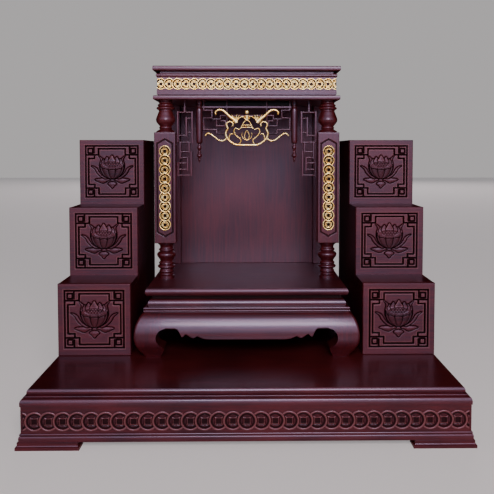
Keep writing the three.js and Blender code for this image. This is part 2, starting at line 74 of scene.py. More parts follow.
# %% [markdown]
# ## Where things are
# Sizes below are in millimetres, because that is how a joiner thinks of them. Most places are read
# from the frame's own boxes, so a new piece lands on the board it stands for. The outlines of
# mouldings and carvings, and a few middles and plans, are written out where they are used.

# %% The box of a board, and a new object
def span(node):
    """The lowest and highest corners of a solid of the frame, in millimetres."""
    low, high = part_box(node)
    return np.array(low) / MM, np.array(high) / MM


def put_in(name, data):
    """A new object in the scene, at the origin."""
    made = bpy.data.objects.new(name, data)
    bpy.context.scene.collection.objects.link(made)
    return made


deck_low, deck_high = span("platform_top")
print("platform board:", np.round(deck_high - deck_low, 1))

# %% [markdown]
# ## Camera
# The cabinet is seen almost straight from the front, with the eye just under the canopy and the
# view turned a little, so that the left side comes slightly nearer. The upright edges stay
# upright, which a lens with a small shift gives.

# %% Camera
CAMERA_PLACE = (0.0002, -1.5125, 0.5231)
CAMERA_TURN = -0.865
CAMERA_TILT = 2.865
LENS = 51.32
SHIFT = (-0.0215, -0.1243)

camera_data = bpy.data.cameras.new("camera")
camera_data.lens = LENS
camera_data.sensor_width = 36.0
camera_data.shift_x, camera_data.shift_y = SHIFT
camera = put_in("camera", camera_data)
camera.location = CAMERA_PLACE
camera.rotation_euler = (math.radians(90 - CAMERA_TILT), 0, math.radians(CAMERA_TURN))
bpy.context.scene.camera = camera
print("camera at", CAMERA_PLACE)

# %% [markdown]
# ## Colours and nodes
# Colours are written as the sRGB hex values a painter would pick. Blender mixes light in linear
# values, so one function turns them. The others each add one kind of shader node with its
# settings and links, which keeps each recipe short.

# %% Helpers for materials
def srgb(code):
    """An sRGB hex colour as linear red, green, blue and alpha."""
    values = np.array([int(code[i:i + 2], 16) for i in (1, 3, 5)]) / 255
    linear = np.where(values <= 0.04045, values / 12.92, ((values + 0.055) / 1.055) ** 2.4)
    return (*linear.tolist(), 1.0)


def add_node(tree, kind, inputs=None, **settings):
    """Adds a node; inputs maps a socket to a plain value or to another node's output."""
    made = tree.nodes.new("ShaderNode" + kind)
    for key, value in settings.items():
        setattr(made, key, value)
    for key, value in (inputs or {}).items():
        if isinstance(value, bpy.types.NodeSocket):
            tree.links.new(value, made.inputs[key])
        else:
            made.inputs[key].default_value = value
    return made


def emptied(owner):
    """The node tree of a material or a world, turned on and empty."""
    owner.use_nodes = True
    owner.node_tree.nodes.clear()
    return owner.node_tree


def ranged(tree, value, start=0.0, end=1.0, low=0.0, high=1.0, **settings):
    """The value's stretch from start to end laid over low to high, and held at both ends."""
    return add_node(tree, "MapRange", {"Value": value, "From Min": start, "From Max": end,
                                       "To Min": low, "To Max": high}, **settings).outputs[0]


def noise(tree, place, scale, detail, **more):
    """A soft random pattern, as a value from 0 to 1."""
    inputs = {"Vector": place, "Scale": scale, "Detail": detail, **more}
    return add_node(tree, "TexNoise", inputs).outputs[0]


def blend(tree, part, first, second):
    """A colour from first to second by part; each is a hex colour or another node's output."""
    first, second = (srgb(c) if isinstance(c, str) else c for c in (first, second))
    return add_node(tree, "Mix", {0: part, 6: first, 7: second}, data_type="RGBA").outputs[2]


def combined(tree, operation, first, second):
    """Two values added or multiplied."""
    return add_node(tree, "Math", {0: first, 1: second}, operation=operation).outputs[0]


print("dark stain in linear values:", np.round(srgb("#3a1418"), 4))

# %% [markdown]
# ## Lacquered hardwood
# The timber is a dense rosewood kind, stained red-brown and sprayed with a semi-gloss lacquer.
# The eye sees three things: a dark figure running along each board, fine pores that break the
# shine a little, and a clear coat that mirrors large soft lights. The figure's bands are 3 to
# 5 mm wide and some 80 mm long; real pores are a tenth of a millimetre, drawn here near half a
# millimetre so that they show. Wood runs along a board's length, so there is one finish for each
# direction. An attribute named hollow is above 0 where carving dips, and there the colour and the
# mirrored light are painted dark as shade; it is below 0 on high edges, which get a painted highlight.

# %% The lacquered wood
BAND = (4.0, 85.0)
PORE = (0.55, 9.0)
STAIN_DEEP, STAIN_MIDDLE, STAIN_LIGHT = "#2e080b", "#4e1316", "#621d1b"
# Painted shade for carved hollows and a painted highlight for high edges; the tints below colour the
# reflections, which are painted dark in the hollows.
SHADE_IN_HOLLOWS, HIGHLIGHT_ON_EDGES = "#070203", "#a4686a"
SHINE_OPEN, SHINE_IN_SHADE = "#e4d8ff", "#2a1210"


def stretched(across, along, grain):
    """Pattern scale for each axis, in cells per metre, longer along the grain's axis."""
    scale = [1 / (across * MM)] * 3
    scale[grain] = 1 / (along * MM)
    return scale


def lacquered_wood(name, grain, satin=0.0):
    """Stained hardwood under lacquer whose figure runs along axis number grain. A satin lacquer
    is rubbed down after spraying: it is rougher and has less of the clear coat's shine."""
    material = bpy.data.materials.new(name)
    tree = emptied(material)
    place = add_node(tree, "TexCoord").outputs["Object"]
    hollow = add_node(tree, "Attribute", attribute_name="hollow").outputs["Fac"]
    bands, fine = (add_node(tree, "Mapping", {"Vector": place, "Scale": stretched(*size, grain)}).outputs[0]
                   for size in (BAND, PORE))
    figure = noise(tree, bands, 1.0, 4.0, Roughness=0.55, Distortion=0.6)
    pores = noise(tree, fine, 1.0, 2.0)
    cloud = noise(tree, place, 7.0, 2.0)
    stain = blend(tree, ranged(tree, figure, 0.32, 0.7, interpolation_type="SMOOTHSTEP"),
                  STAIN_DEEP, STAIN_MIDDLE)
    stain = blend(tree, ranged(tree, cloud, 0.4, 0.75, high=0.6), stain, STAIN_LIGHT)
    stain = blend(tree, ranged(tree, pores, 0.56, 0.7, high=0.55), stain, STAIN_DEEP)
    # Where hollow is above 0 the colour is painted dark as shade, below 0 it is painted lighter as a
    # highlight, and the tint paints the reflections dark in the hollows.
    stain = blend(tree, hollow, stain, SHADE_IN_HOLLOWS)
    stain = blend(tree, ranged(tree, hollow, 0.0, -1.0, high=0.6), stain, HIGHLIGHT_ON_EDGES)
    shine = blend(tree, hollow, SHINE_OPEN, SHINE_IN_SHADE)
    dull = combined(tree, "ADD", ranged(tree, cloud, low=0.27 + satin, high=0.4 + satin),
                    ranged(tree, hollow, high=0.2))
    relief = add_node(tree, "Bump", {"Height": pores, "Strength": 0.12, "Distance": 0.0002})
    sheen = add_node(tree, "Bump", {"Height": figure, "Strength": 0.1, "Distance": 0.0004,
                                    "Normal": relief.outputs[0]})
    wood = add_node(tree, "BsdfPrincipled", {
        "Base Color": stain, "Roughness": dull, "Normal": sheen.outputs[0],
        "IOR": 1.5, "Specular IOR Level": 0.68, "Specular Tint": shine,
        "Coat Weight": 0.2 - satin, "Coat Roughness": 0.14 + satin})
    add_node(tree, "OutputMaterial", {"Surface": wood.outputs[0]})
    return material


lacquer_x = lacquered_wood("rosewood_lacquer_grain_across", 0)
lacquer_y = lacquered_wood("rosewood_lacquer_grain_deep", 1)
lacquer_z = lacquered_wood("rosewood_lacquer_grain_upright", 2)
satin_panel = lacquered_wood("rosewood_satin_panel", 0, 0.16)
rubbed_top = lacquered_wood("rosewood_rubbed_top", 0, 0.1)
for node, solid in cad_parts.items():
    solid.data.materials.clear()
    solid.data.materials.append(lacquer_x)
print("three directions of lacquered wood, and two duller finishes")

# %% [markdown]
# ## Gilding
# The ornament, the canopy's coins and the columns' coins are painted with gold over the carved
# wood. Gold paint is a metal to the eye: it colours what it mirrors. It is brushed on, so it is
# uneven by a few tenths of a millimetre. In the hollows it is painted nearly black-brown: partly
# paint that thins there, mostly painted shade.

# %% The gilding
# The last colour is for the hollows: painted shade, over paint that thins there.
GOLD_LIGHT, GOLD_WARM, GOLD_THIN_AND_SHADED = "#fff0b0", "#fcc65c", "#1a0902"


def gold_paint(name):
    """Brushed gold paint, painted nearly black where the attribute hollow is high: thinner paint there, and
    painted shade.
    """
    material = bpy.data.materials.new(name)
    tree = emptied(material)
    place = add_node(tree, "TexCoord").outputs["Object"]
    hollow = add_node(tree, "Attribute", attribute_name="hollow").outputs["Fac"]
    patch = noise(tree, place, 160.0, 3.0)
    brush = noise(tree, place, 900.0, 2.0)
    gold = blend(tree, ranged(tree, patch, 0.35, 0.65), GOLD_WARM, GOLD_LIGHT)
    relief = add_node(tree, "Bump", {"Height": brush, "Strength": 0.25, "Distance": 0.0003})
    # The base colour is painted nearly black in the hollows as shade, over paint that thins there.
    paint = add_node(tree, "BsdfPrincipled", {
        "Base Color": blend(tree, hollow, gold, GOLD_THIN_AND_SHADED), "Metallic": 0.84,
        "Roughness": ranged(tree, patch, low=0.16, high=0.34), "Normal": relief.outputs[0]})
    add_node(tree, "OutputMaterial", {"Surface": paint.outputs[0]})
    return material


gilding = gold_paint("gold_paint_on_carved_wood")
print("gilding ready")

# %% [markdown]
# ## How the meshes are made
# Each surface is a net of points worked out as whole arrays: rows by columns. A net's columns can
# close on themselves, and what stays open is closed by a cap. A piece is one or more such closed
# nets. The sign of a net's volume tells whether its faces point out or in, so they are turned
# when it is negative.

# %% Nets and pieces
def net(rows, columns, close_columns=False):
    """The quads between neighbours of a rows by columns net; closed columns join end to start."""
    row = np.arange(rows - 1)[:, None]
    column = np.arange(columns if close_columns else columns - 1)[None, :]
    next_column = (column + 1) % columns
    quads = np.stack(np.broadcast_arrays(row * columns + column, row * columns + next_column,
                                         (row + 1) * columns + next_column,
                                         (row + 1) * columns + column), -1)
    return quads.reshape(-1, 4)


def outward(points, quads, caps):
    """The same faces, turned round if they enclose a negative volume."""
    a, b, c, d = (points[quads[:, i]] for i in range(4))
    volume = (a * np.cross(b, c)).sum() + (a * np.cross(c, d)).sum()
    for cap in caps:
        fan = points[cap]
        volume += (fan[0] * np.cross(fan[1:-1], fan[2:])).sum()
    return (quads, caps) if volume > 0 else (quads[:, ::-1], [cap[::-1] for cap in caps])


def lofted(x, y, z):
    """A closed net from arrays by row and column: every row is a ring, and caps fill the ends."""
    grid = np.stack(np.broadcast_arrays(x, y, z), -1)
    rows, count = grid.shape[:2]
    last = (rows - 1) * count
    caps = [list(range(count))[::-1], list(range(last, last + count))]
    return grid.reshape(-1, 3), net(rows, count, close_columns=True), caps


def piece(name, parts, material, stands_for=(), crease=38, hollow=None):
    """One object from closed nets (points, quads, caps) in millimetres, riding on the body."""
    points, quads, caps, start = [], [], [], 0
    for net_points, net_quads, net_caps in parts:
        turned_quads, turned_caps = outward(net_points, net_quads, net_caps)
        points.append(net_points)
        quads += (turned_quads + start).tolist()
        caps += [[start + i for i in cap] for cap in turned_caps]
        start += len(net_points)
    mesh = bpy.data.meshes.new(name)
    mesh.from_pydata((np.concatenate(points) * MM).tolist(), [], quads + caps)
    mesh.shade_smooth()
    mesh.set_sharp_from_angle(angle=math.radians(crease))
    if hollow is not None:
        mesh.attributes.new("hollow", "FLOAT", "POINT").data.foreach_set("value", hollow)
    mesh.materials.append(material)
    made = put_in(name, mesh)
    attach(made, "root")
    if stands_for:
        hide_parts(*stands_for)
    return made


def carried(outline, place):
    """A closed outline of (a, b) carried from t = 0 to 1; place(a, b, t) gives x, y and z."""
    a, b = np.array(outline, float).T
    return lofted(*place(a[None, :], b[None, :], np.array([[0.0], [1.0]])))


def turned(profile, x, y, sides=56):
    """A profile of (radius, height) turned about the upright axis at (x, y)."""
    radius, height = np.array(profile, float).T[:, :, None]
    angle = np.linspace(0, 2 * np.pi, sides, endpoint=False)
    return lofted(x + radius * np.cos(angle), y + radius * np.sin(angle), height)


def bow(start, end, depth, count=8):
    """Points of a shallow arc from start to end that swells by depth to the left of its way."""
    start, end = np.array(start, float), np.array(end, float)
    t = np.linspace(0, 1, count)[:, None]
    way = end - start
    left = np.array([-way[1], way[0]]) / np.hypot(*way)
    return (start + way * t + left * depth * 4 * t * (1 - t)).tolist()


def ball(radius, start, end, depth, count):
    """A bead of a turned or planed profile: a bow between two heights at one radius."""
    return bow((radius, start), (radius, end), -depth, count)


def curve(keys, closed=False, steps=6):
    """A Catmull-Rom curve through key points: each stretch is the cubic that passes through its
    two ends with the slope of their neighbours."""
    keys = np.array(keys, float)
    if closed:
        padded = np.concatenate([keys[-1:], keys, keys[:2]])
    else:
        padded = np.concatenate([2 * keys[:1] - keys[1:2], keys, 2 * keys[-1:] - keys[-2:-1]])
    p0, p1, p2, p3 = (padded[i:len(padded) - 3 + i, None, :] for i in range(4))
    t = np.linspace(0, 1, steps, endpoint=False)[None, :, None]
    middle = 0.5 * (2 * p1 + (p2 - p0) * t + (2 * p0 - 5 * p1 + 4 * p2 - p3) * t ** 2
                    + (3 * p1 - p0 - 3 * p2 + p3) * t ** 3)
    points = middle.reshape(-1, keys.shape[1])
    return points if closed else np.concatenate([points, keys[-1:]])


print("a net of 3 by 4 points has", len(net(3, 4)), "quads")

# %% [markdown]
# ## Plain boards
# Most boards of the cabinet are sawn flat and sanded, with their edges eased by a millimetre or
# so. A box with a Bevel modifier is exactly that, and cheaper than modelling the edge.

# %% Boards with eased edges
EASE = 1.1


def board(node, material):
    """A flat board in the place of a solid of the frame, with eased edges."""
    low, high = span(node)
    corners = [(0, 0), (1, 0), (1, 1), (0, 1)]
    place = lambda a, b, t: [low[i] + (high[i] - low[i]) * v for i, v in enumerate((a, b, t))]
    made = piece(node + "_board", [carried(corners, place)], material, [node])
    bevel = made.modifiers.new("eased_edges", "BEVEL")
    bevel.width = EASE * MM
    bevel.segments = 3
    bevel.limit_method = "ANGLE"
    bevel.harden_normals = True
    return made


for side in SIDES:
    board(f"steps_{side}_back", lacquer_z)
    board(f"rear_post_{side}", lacquer_z)
    for level in LEVELS:
        board(f"steps_{side}_tread_{level}", lacquer_y)
for node in ("platform_back_rail", "canopy_back_rail", "table_waist_back", "table_apron_back"):
    board(node, lacquer_x)
board("back_panel", lacquer_z)
print("plain boards done")

# %% [markdown]
# The side boards of the step blocks are cut like a stair. Their outline is read back from the
# boxes of the treads and panels, so it always follows the frame.

# %% Stepped side boards
for side in SIDES:
    for cheek in ("inner", "outer"):
        node = f"steps_{side}_{cheek}_side"
        low, high = span(node)
        outline = [(high[1], low[2])]
        for level in LEVELS:
            panel_back = span(f"steps_{side}_panel_{level}")[1][1]
            tread_under = span(f"steps_{side}_tread_{level}")[0][2]
            outline += [(panel_back, outline[-1][1]), (panel_back, tread_under)]
        outline.append((high[1], high[2]))
        place = lambda a, b, t: [low[0] + (high[0] - low[0]) * t, a, b]
        piece(node + "_board", [carried(outline, place)], lacquer_z, [node])
print("stepped side boards done")

# %% [markdown]
# ## Mouldings
# A moulding is a profile planed along a board and mitred at the corners. Here the profile is a
# list of (offset outwards, height) points with its round stretches as arcs, and it is carried
# along three sides: each end leans by its own offset, which is what makes the mitre.

# %% Carry a profile along the front and sides
MITRE = 0.1
SHADE = 0.9


def front_run(plan, profile):
    """The profile along the front, mitred at both ends. plan is (half width, front, back)."""
    half, front = plan[:2]
    place = lambda o, z, t: [(2 * t - 1) * (half + o - MITRE), front - o, z]
    return carried(profile, place)


def side_run(plan, profile, side):
    """The profile along one side, mitred in front and cut square at the back."""
    half, front, back = plan
    place = lambda o, z, t: [side * (half + o), front - o + (back - front + o) * t, z]
    return carried(profile, place)


def edged_board(plan, edge):
    """A solid board whose front and side edges follow a profile: a stack of rectangles."""
    half, front, back = plan
    corners = np.array([(-1, 0), (1, 0), (1, 1), (-1, 1)], float)
    offset, height = np.array(edge, float).T
    x = corners[:, 0] * (half + offset[:, None])
    y = np.where(corners[:, 1] > 0, back, front - offset[:, None])
    return lofted(x, y, height[:, None])


def shaded(profile, limit):
    """Hollow values for a carried profile's two ends: SHADE where its offset is below limit."""
    return np.tile([SHADE if offset < limit else 0.0 for offset, _ in profile], 2)


def mouldings(plan, profile, made, node, limit):
    """The profile along the front and both sides. made and node are the pieces' and the boards'
    names, with {} where front, left or right goes."""
    hollow = shaded(profile, limit)
    piece(made.format("front"), [front_run(plan, profile)], lacquer_x, [node.format("front")],
          hollow=hollow)
    for name, side in SIDES.items():
        piece(made.format(name), [side_run(plan, profile, side)], lacquer_y, [node.format(name)],
              hollow=hollow)


rear = span("platform_back_rail")[1][1]
platform_plan = (deck_high[0], deck_low[1], rear)
rail_low, rail_high = span("platform_front_rail")
print("platform plan:", np.round(platform_plan, 1))

# %% [markdown]
# ## Cash coins
# The friezes are chains of cash coins, a traditional sign of plenty. Each coin has a raised
# rim, a sunk field, and a raised frame with hollow sides round a square hole. In a chain they
# overlap like roof shingles: the middle coin lies on top, and each further one slips under its
# neighbour. One coin is a net of two parameters, the turn about its middle and the reach from
# the edge of the hole to the rim, and its height is a formula of both.

# %% One coin and a chain of them
def step(low, high, value):
    """0 below low, 1 above high, and a smooth S between."""
    t = np.clip((value - low) / (high - low), 0, 1)
    return t * t * (3 - 2 * t)


def coin_height(x, y, radius):
    """Height over a coin's face from 0 to 1, from distances in parts of its radius: a half-round
    rim, a deep ring inside it, and a disc that four arcs part into a hollow-sided square and
    four lenses."""
    reach = np.hypot(x, y) / radius
    far = np.maximum(np.abs(x), np.abs(y)) / radius
    near = np.minimum(np.abs(x), np.abs(y)) / radius
    rim = np.sqrt(np.clip(1 - np.abs((reach - 0.89) / 0.113) ** 3, 0, 1))
    disc = 1 - step(0.6, 0.63, reach)
    arc = np.hypot(near, 1.22 - far)
    body = 0.42 + 0.43 * step(0.83, 0.87, arc) - 0.34 * (1 - step(0.02, 0.05, np.abs(arc - 0.85)))
    return COIN_FLOOR + 0.95 * rim + disc * body


COIN_HOLE = 0.28
COIN_INSIDE = 0.5
COIN_RINGS = np.array([0.53, 0.56, 0.585, 0.6, 0.615, 0.63, 0.69, 0.75, 0.776, 0.784, 0.796, 0.815,
                       0.84, 0.87, 0.9, 0.925, 0.95, 0.972, 0.987, 0.996, 1.0])
COIN_FLOOR = 0.05
COIN_TURNS = 80
COIN_LEAN, COIN_SINK, COIN_COVER, COIN_THINNEST = 0.42, 0.16, 0.96, 0.15
BURIED = -1.0


def coin_chain(radius, pitch, rise, pairs, place, middle=0.0, limit=None):
    """A chain of coins; place(u, v, h) gives x, y, z from the run, the width and the height. Rings
    of points go from a square hole to the round rim. Each coin but the middle one leans a little
    and is buried where its neighbour lies over it. limit is where the run is cut off."""
    angle = np.linspace(0, 2 * np.pi, COIN_TURNS, endpoint=False)[None, :]
    square = COIN_HOLE / np.maximum(np.abs(np.cos(angle)), np.abs(np.sin(angle)))
    inner = square + (COIN_INSIDE - square) * np.linspace(0, 1, 6)[:, None]
    rings = np.concatenate([inner, COIN_RINGS[:, None] + 0 * angle])
    height = coin_height(rings * np.cos(angle), rings * np.sin(angle), 1.0)
    rings = np.concatenate([0.02 + 0 * square, square, rings, rings[-1:]]) * radius
    u, v = rings * np.cos(angle), rings * np.sin(angle)
    height = np.concatenate([np.full((2, COIN_TURNS), COIN_FLOOR), height, 0 * angle + BURIED])
    # tone is painted shade in the coin's low parts, and below 0 a painted highlight on the rim and the
    # frame.
    tone = 1 - step(0.1, 0.7, height) - 0.7 * step(0.4, 0.9, height) * (np.hypot(u, v) > 0.78 * radius)
    tone = tone - 0.45 * step(0.6, 0.85, height) * (np.hypot(u, v) < 0.7 * radius)
    parts = []
    for k in range(-pairs, pairs + 1):
        side = np.sign(k)
        run = middle + k * pitch + u
        if limit and np.abs(middle + k * pitch) > limit + radius / 2:
            continue
        lean = COIN_LEAN * side * u / pitch - COIN_SINK * abs(side)
        top = np.where(height < 0, BURIED, np.maximum(rise * (height + lean), COIN_THINNEST))
        covered = np.hypot(u + side * pitch, v) < COIN_COVER * radius
        top = np.where(covered & (k != 0), BURIED, top)
        if limit:
            run = np.clip(run, -limit, limit)
        parts.append(lofted(*place(run, v, top)))
    return parts, np.tile(tone.reshape(-1), len(parts))


print("height at a rim's top:", round(float(coin_height(15.5, 0.0, 17.2)), 2))

# %% [markdown]
# ## The platform
# The platform's board has a round nose. Under it the rails carry a bead, a quarter round, a flat
# frieze, a lower bead and a hollow skirt, all planed from one thick rail. The chain of coins is
# carved along the middle of the front frieze; the sides have the mouldings alone.

# %% Platform board and rails
board_under, board_top = deck_low[2], deck_high[2]
nose = [(-6, board_under)] + ball(-2.5, board_under, board_top, 2.6, 12) + [(-6, board_top)]
piece("platform_deck", [edged_board(platform_plan, nose)], lacquer_x, ["platform_top"])

FRIEZE = 8.5
rail_inside = FRIEZE - 22.5
rail_profile = (
    [(rail_inside, rail_low[2]), (12, rail_low[2]), (12, 20.6)]
    + bow((11.9, 20.9), (10.6, 23), -0.3, 5)
    + ball(9.9, 23.5, 27.3, 0.8, 7)
    + [(FRIEZE, 27.8), (FRIEZE, 75), (9.9, 75.5), (9.9, 82)]
    + bow((9.7, 82.6), (4.2, 89), -1.5, 10)
    + [(2.4, 89.2)] + ball(2.4, 89.5, rail_high[2] - 0.2, 0.8, 6)
    + [(2, rail_high[2]), (rail_inside, rail_high[2])]
)
COIN_MIDDLE = 49.0
frieze_face = platform_plan[1] - FRIEZE
platform_coins, coin_hollow = coin_chain(
    radius=17.7, pitch=24.8, rise=3.0, pairs=16,
    place=lambda u, v, h: [u, frieze_face - h, COIN_MIDDLE + v], limit=platform_plan[0] + 4)
rail_run = front_run(platform_plan, rail_profile)
piece("platform_rail_with_coins", [rail_run] + platform_coins, lacquer_x, ["platform_front_rail"],
      hollow=np.concatenate([np.zeros(len(rail_run[0])), 0.8 * coin_hollow]))
for name, side in SIDES.items():
    piece(f"platform_side_rail_{name}", [side_run(platform_plan, rail_profile, side)], lacquer_y,
          [f"platform_{name}_rail"])
print("platform rail profile has", len(rail_profile), "points")

# %% [markdown]
# The bracket feet are L-shaped in plan and stepped: the lower step stands further out. Their
# free ends are cut to a small hollow curve. Each is its plan outline carried upwards while the
# offset changes, so the profile of the foot is a short list of offsets by height.

# %% Bracket feet
FOOT_REACH, FOOT_INSET = 17, 31.0
foot_edge = ([(FOOT_REACH, 0), (FOOT_REACH, 5)] + bow((16.4, 5.6), (14.4, 7.6), 0.5, 5)
             + [(14, 8), (14, 13)])


def bracket_foot(side, end, node):
    """An L in plan whose outer faces and free ends follow foot_edge."""
    low, high = span(node)
    length, depth = high[0] - low[0], high[1] - low[1]
    out, height = np.array(foot_edge, float).T
    corner_x = deck_high[0] + out
    corner_y = -deck_low[1] + out if end < 0 else rear + 0 * out
    back = corner_y - depth + (FOOT_REACH - out)
    tip = corner_x - length + (FOOT_REACH - out) * 2
    inside_x, inside_y = corner_x - FOOT_INSET, corner_y - FOOT_INSET
    x = np.stack([corner_x, tip, tip, inside_x, inside_x, corner_x], -1)
    y = np.stack([corner_y, corner_y, inside_y, inside_y, back, back], -1)
    return lofted(side * x, end * y, height[:, None])


for side_name, side in SIDES.items():
    for end_name, end in ENDS.items():
        node = f"platform_foot_{end_name}_{side_name}"
        piece(f"bracket_foot_{end_name}_{side_name}", [bracket_foot(side, end, node)], lacquer_x, [node])
print("four bracket feet done")

# %% [markdown]
# ## Lotus panels
# Each step's front is a square panel. Two narrow lines are cut inside its edge as a frame, and at
# every corner the inner one steps round a key fret with a small square. In the middle stands
# a lotus: a seed pod in a bowl of petals, tall side petals, curling leaves and a pointed
# bottom petal. A carver cuts such work downwards from a flat face, which is exactly what a
# height over a grid describes, so the panel is one net whose points move in and out.

# %% Distances, the tools of the carver
PANEL_GRID = 185


def segment_distance(x, z, path, closed=True):
    """The distance from every grid point to a path of straight stretches."""
    path = np.array(path, float)
    ends = np.roll(path, -1, axis=0) if closed else path[1:]
    starts = path if closed else path[:-1]
    nearest = np.full(x.shape, 1e9)
    for (ax, az), (bx, bz) in zip(starts, ends):
        length = (bx - ax) ** 2 + (bz - az) ** 2
        t = np.clip(((x - ax) * (bx - ax) + (z - az) * (bz - az)) / length, 0, 1)
        nearest = np.minimum(nearest, np.hypot(x - ax - t * (bx - ax), z - az - t * (bz - az)))
    return nearest


def inside_distance(x, z, outline):
    """Distance to a closed outline, positive inside it: crossings of a level ray tell inside."""
    path = np.array(outline, float)
    ends = np.roll(path, -1, axis=0)
    within = np.zeros(x.shape, bool)
    for (ax, az), (bx, bz) in zip(path, ends):
        if az != bz:
            crosses = (az > z) != (bz > z)
            within ^= crosses & (x < (bx - ax) * (z - az) / (bz - az) + ax)
    return np.where(within, 1, -1) * segment_distance(x, z, outline)


def both(half):
    """A half outline from bottom middle to top middle, and its mirror image."""
    return list(half) + [(-x, z) for x, z in reversed(half) if x != 0]


print("distance from the middle of a unit square:",
      inside_distance(np.array([0.0]), np.array([0.0]), [(-1, -1), (1, -1), (1, 1), (-1, 1)])[0])

# %% The frame with its key frets
FRAME_HALF, FRAME_TOP, FRAME_BOTTOM = 60.0, 60.2, 57.6
CUT_WIDTH, CUT_DEPTH = 2.1, 2.4
INNER_LINE = [(6.3, 70), (6.3, 28.8), (20, 28.8), (20, 20.5), (29.3, 20.5), (29.3, 6.5), (70, 6.5)]
FRET_LINES = [[(0, 20.5), (20, 20.5)], [(19, 0), (19, 16)],
              [(5.6, 6), (16, 6), (16, 16.4), (5.6, 16.4), (5.6, 6)]]


def frame_cuts(x, z):
    """Depth of the cuts, from 0 to 1, by distance from their lines: the outer square, the inner
    line that steps round each corner, and the fret's small square and bars. Then a painted
    highlight along the edges beside them, and where the sunk field lies."""
    across = FRAME_HALF - np.abs(x)
    down = np.where(z > 0, FRAME_TOP - z, FRAME_BOTTOM + z)
    inside = segment_distance(across, down, INNER_LINE, closed=False)
    nearest = np.minimum(np.abs(np.minimum(across, down)), inside)
    for line in FRET_LINES:
        nearest = np.minimum(nearest, segment_distance(across, down, line, closed=False))
    field = (across > 6.3) & (down > 6.5)
    field &= ~((across < 29.3) & (down < 20.5)) & ~((across < 20) & (down < 28.8))
    cuts = 1 - step(0.45 * CUT_WIDTH, CUT_WIDTH, nearest)
    # A painted highlight along the edges beside the cuts.
    edge_highlight = (1 - step(CUT_WIDTH + 0.6, CUT_WIDTH + 2.6, nearest)) * (cuts == 0)
    return cuts, edge_highlight, np.where(field, step(0, 1.2, inside), 0)


# %% [markdown]
# The flower is built up from the back to the front, as its parts overlap: leaves first, then the
# side petals, the crown, the globe and the seed pod. Each part is an outline with a swell: its
# height rises from the edge inwards as a quarter circle does. Where a part lies over another, a
# fine groove is cut round it, which is what makes carved petals read from a distance.
# The grooves, the gaps between seeds and the valleys of the globe are painted dark as shade, and each
# part's edge gets a painted highlight.

# %% Leaves and petals of the lotus
LOTUS = [
    # outline, foot height, swell, width over which it swells
    ([(0, -37.6), (4.6, -32.6), (9.8, -27.8), (5, -23.4), (-5, -23.4), (-9.8, -27.8),
      (-4.6, -32.6)], 0.2, 1.4, 5),
    ([(10, -15.4), (22, -14.5), (31, -15.5), (37, -16.4), (39.5, -18.6), (34, -21), (26.3, -24.4),
      (19.5, -25.4), (11.7, -21), (5, -19)], 0.2, 1.7, 4.5),
    ([(10, -13.6), (17, -11.6), (24, -7.3), (29.6, -0.6), (33, 5.6), (36.6, 9.6), (41.6, 12.4),
      (47.4, 13.6), (42.4, 9.6), (38.6, 5.6), (36.2, 0.4), (33, -4), (29.2, -8), (22.6, -12.8),
      (15, -15.8)], 0.2, 2.0, 3.6),
    ([(18, 0), (26, 4), (28.2, 12), (27.6, 20), (26.0, 27), (27, 31.6), (30.4, 37.2), (24.8, 33.4),
      (20.4, 28.5), (17, 20)], 0.5, 1.6, 4.5),
    ([(13, 18), (20.6, 17), (23.6, 22.6), (21.6, 26.6), (19, 30), (15, 27)], 0.7, 1.2, 4),
    ([(5, 20), (13, 18), (17.6, 24), (15.4, 29.4), (11.5, 35), (7.8, 30.6)], 0.9, 1.2, 4),
    (both([(0, 16), (6, 18), (7.8, 25.5), (4.4, 32.6), (0, 38.6)]), 1.0, 1.3, 4.5),
]
GLOBE_MIDDLE, GLOBE_WIDE, GLOBE_TALL = 11.4, 27.5, 27.4
POD_MIDDLE, POD_WIDE, POD_TALL = 17.5, 25.0, 8.6
SEED_ROW, SEED_COLUMN = 3.6, 6.0
RIB = math.radians(36)
GLOBE_EDGE = 26
GLOBE_BARE = 18


def globe_reach(x, z):
    """0 at the globe's middle and 1 on its outline."""
    return np.hypot(x / GLOBE_WIDE, (z - GLOBE_MIDDLE) / GLOBE_TALL)


def globe_relief(x, z, height):
    """The globe of petals: a dome, whose ribs part along meridians like those of a ball seen from
    the side, below a plain collar that follows the front lip of the seed pod."""
    up = (z - GLOBE_MIDDLE) / GLOBE_TALL
    width = GLOBE_WIDE * np.sqrt(np.clip(1 - up ** 2, 0, 1))
    across = np.clip(x / np.maximum(width, 0.1), -1, 1)
    reach = globe_reach(x, z)
    lip = POD_MIDDLE - POD_TALL * np.sqrt(np.clip(1 - (x / (POD_WIDE + 2.4)) ** 2, 0, 1))
    valley = np.abs(np.cos(np.arcsin(across) * np.pi / RIB))
    top = lip - 3.2 - 3.4 * (1 - np.sqrt(valley))
    dome = 0.9 + 1.7 * np.sqrt(np.clip(1 - reach ** 2, 0, 1))
    ribbed = dome - 1.4 * (1 - np.sqrt(valley)) - 0.2
    cut = 1 - step(0.2, 1.1, np.abs(z - top))
    body = np.where(z < top, ribbed, dome + 0.1) - 1.1 * cut
    outline = 1.3 * (1 - step(0.2, 1.6, np.abs((1 - reach) * GLOBE_EDGE + 0.4)))
    bowl = (reach < 1) & (z < lip + 0.2)
    lower = np.where(z < lip + 0.6, outline, 0)
    # Painted shade in the cut and between the ribs, and the whole bowl a little darker.
    dark = np.maximum(np.maximum(cut, 1 - step(0, 0.55, valley)), 0.38)
    return np.where(bowl, body, height - lower), np.where(bowl, dark, 0)


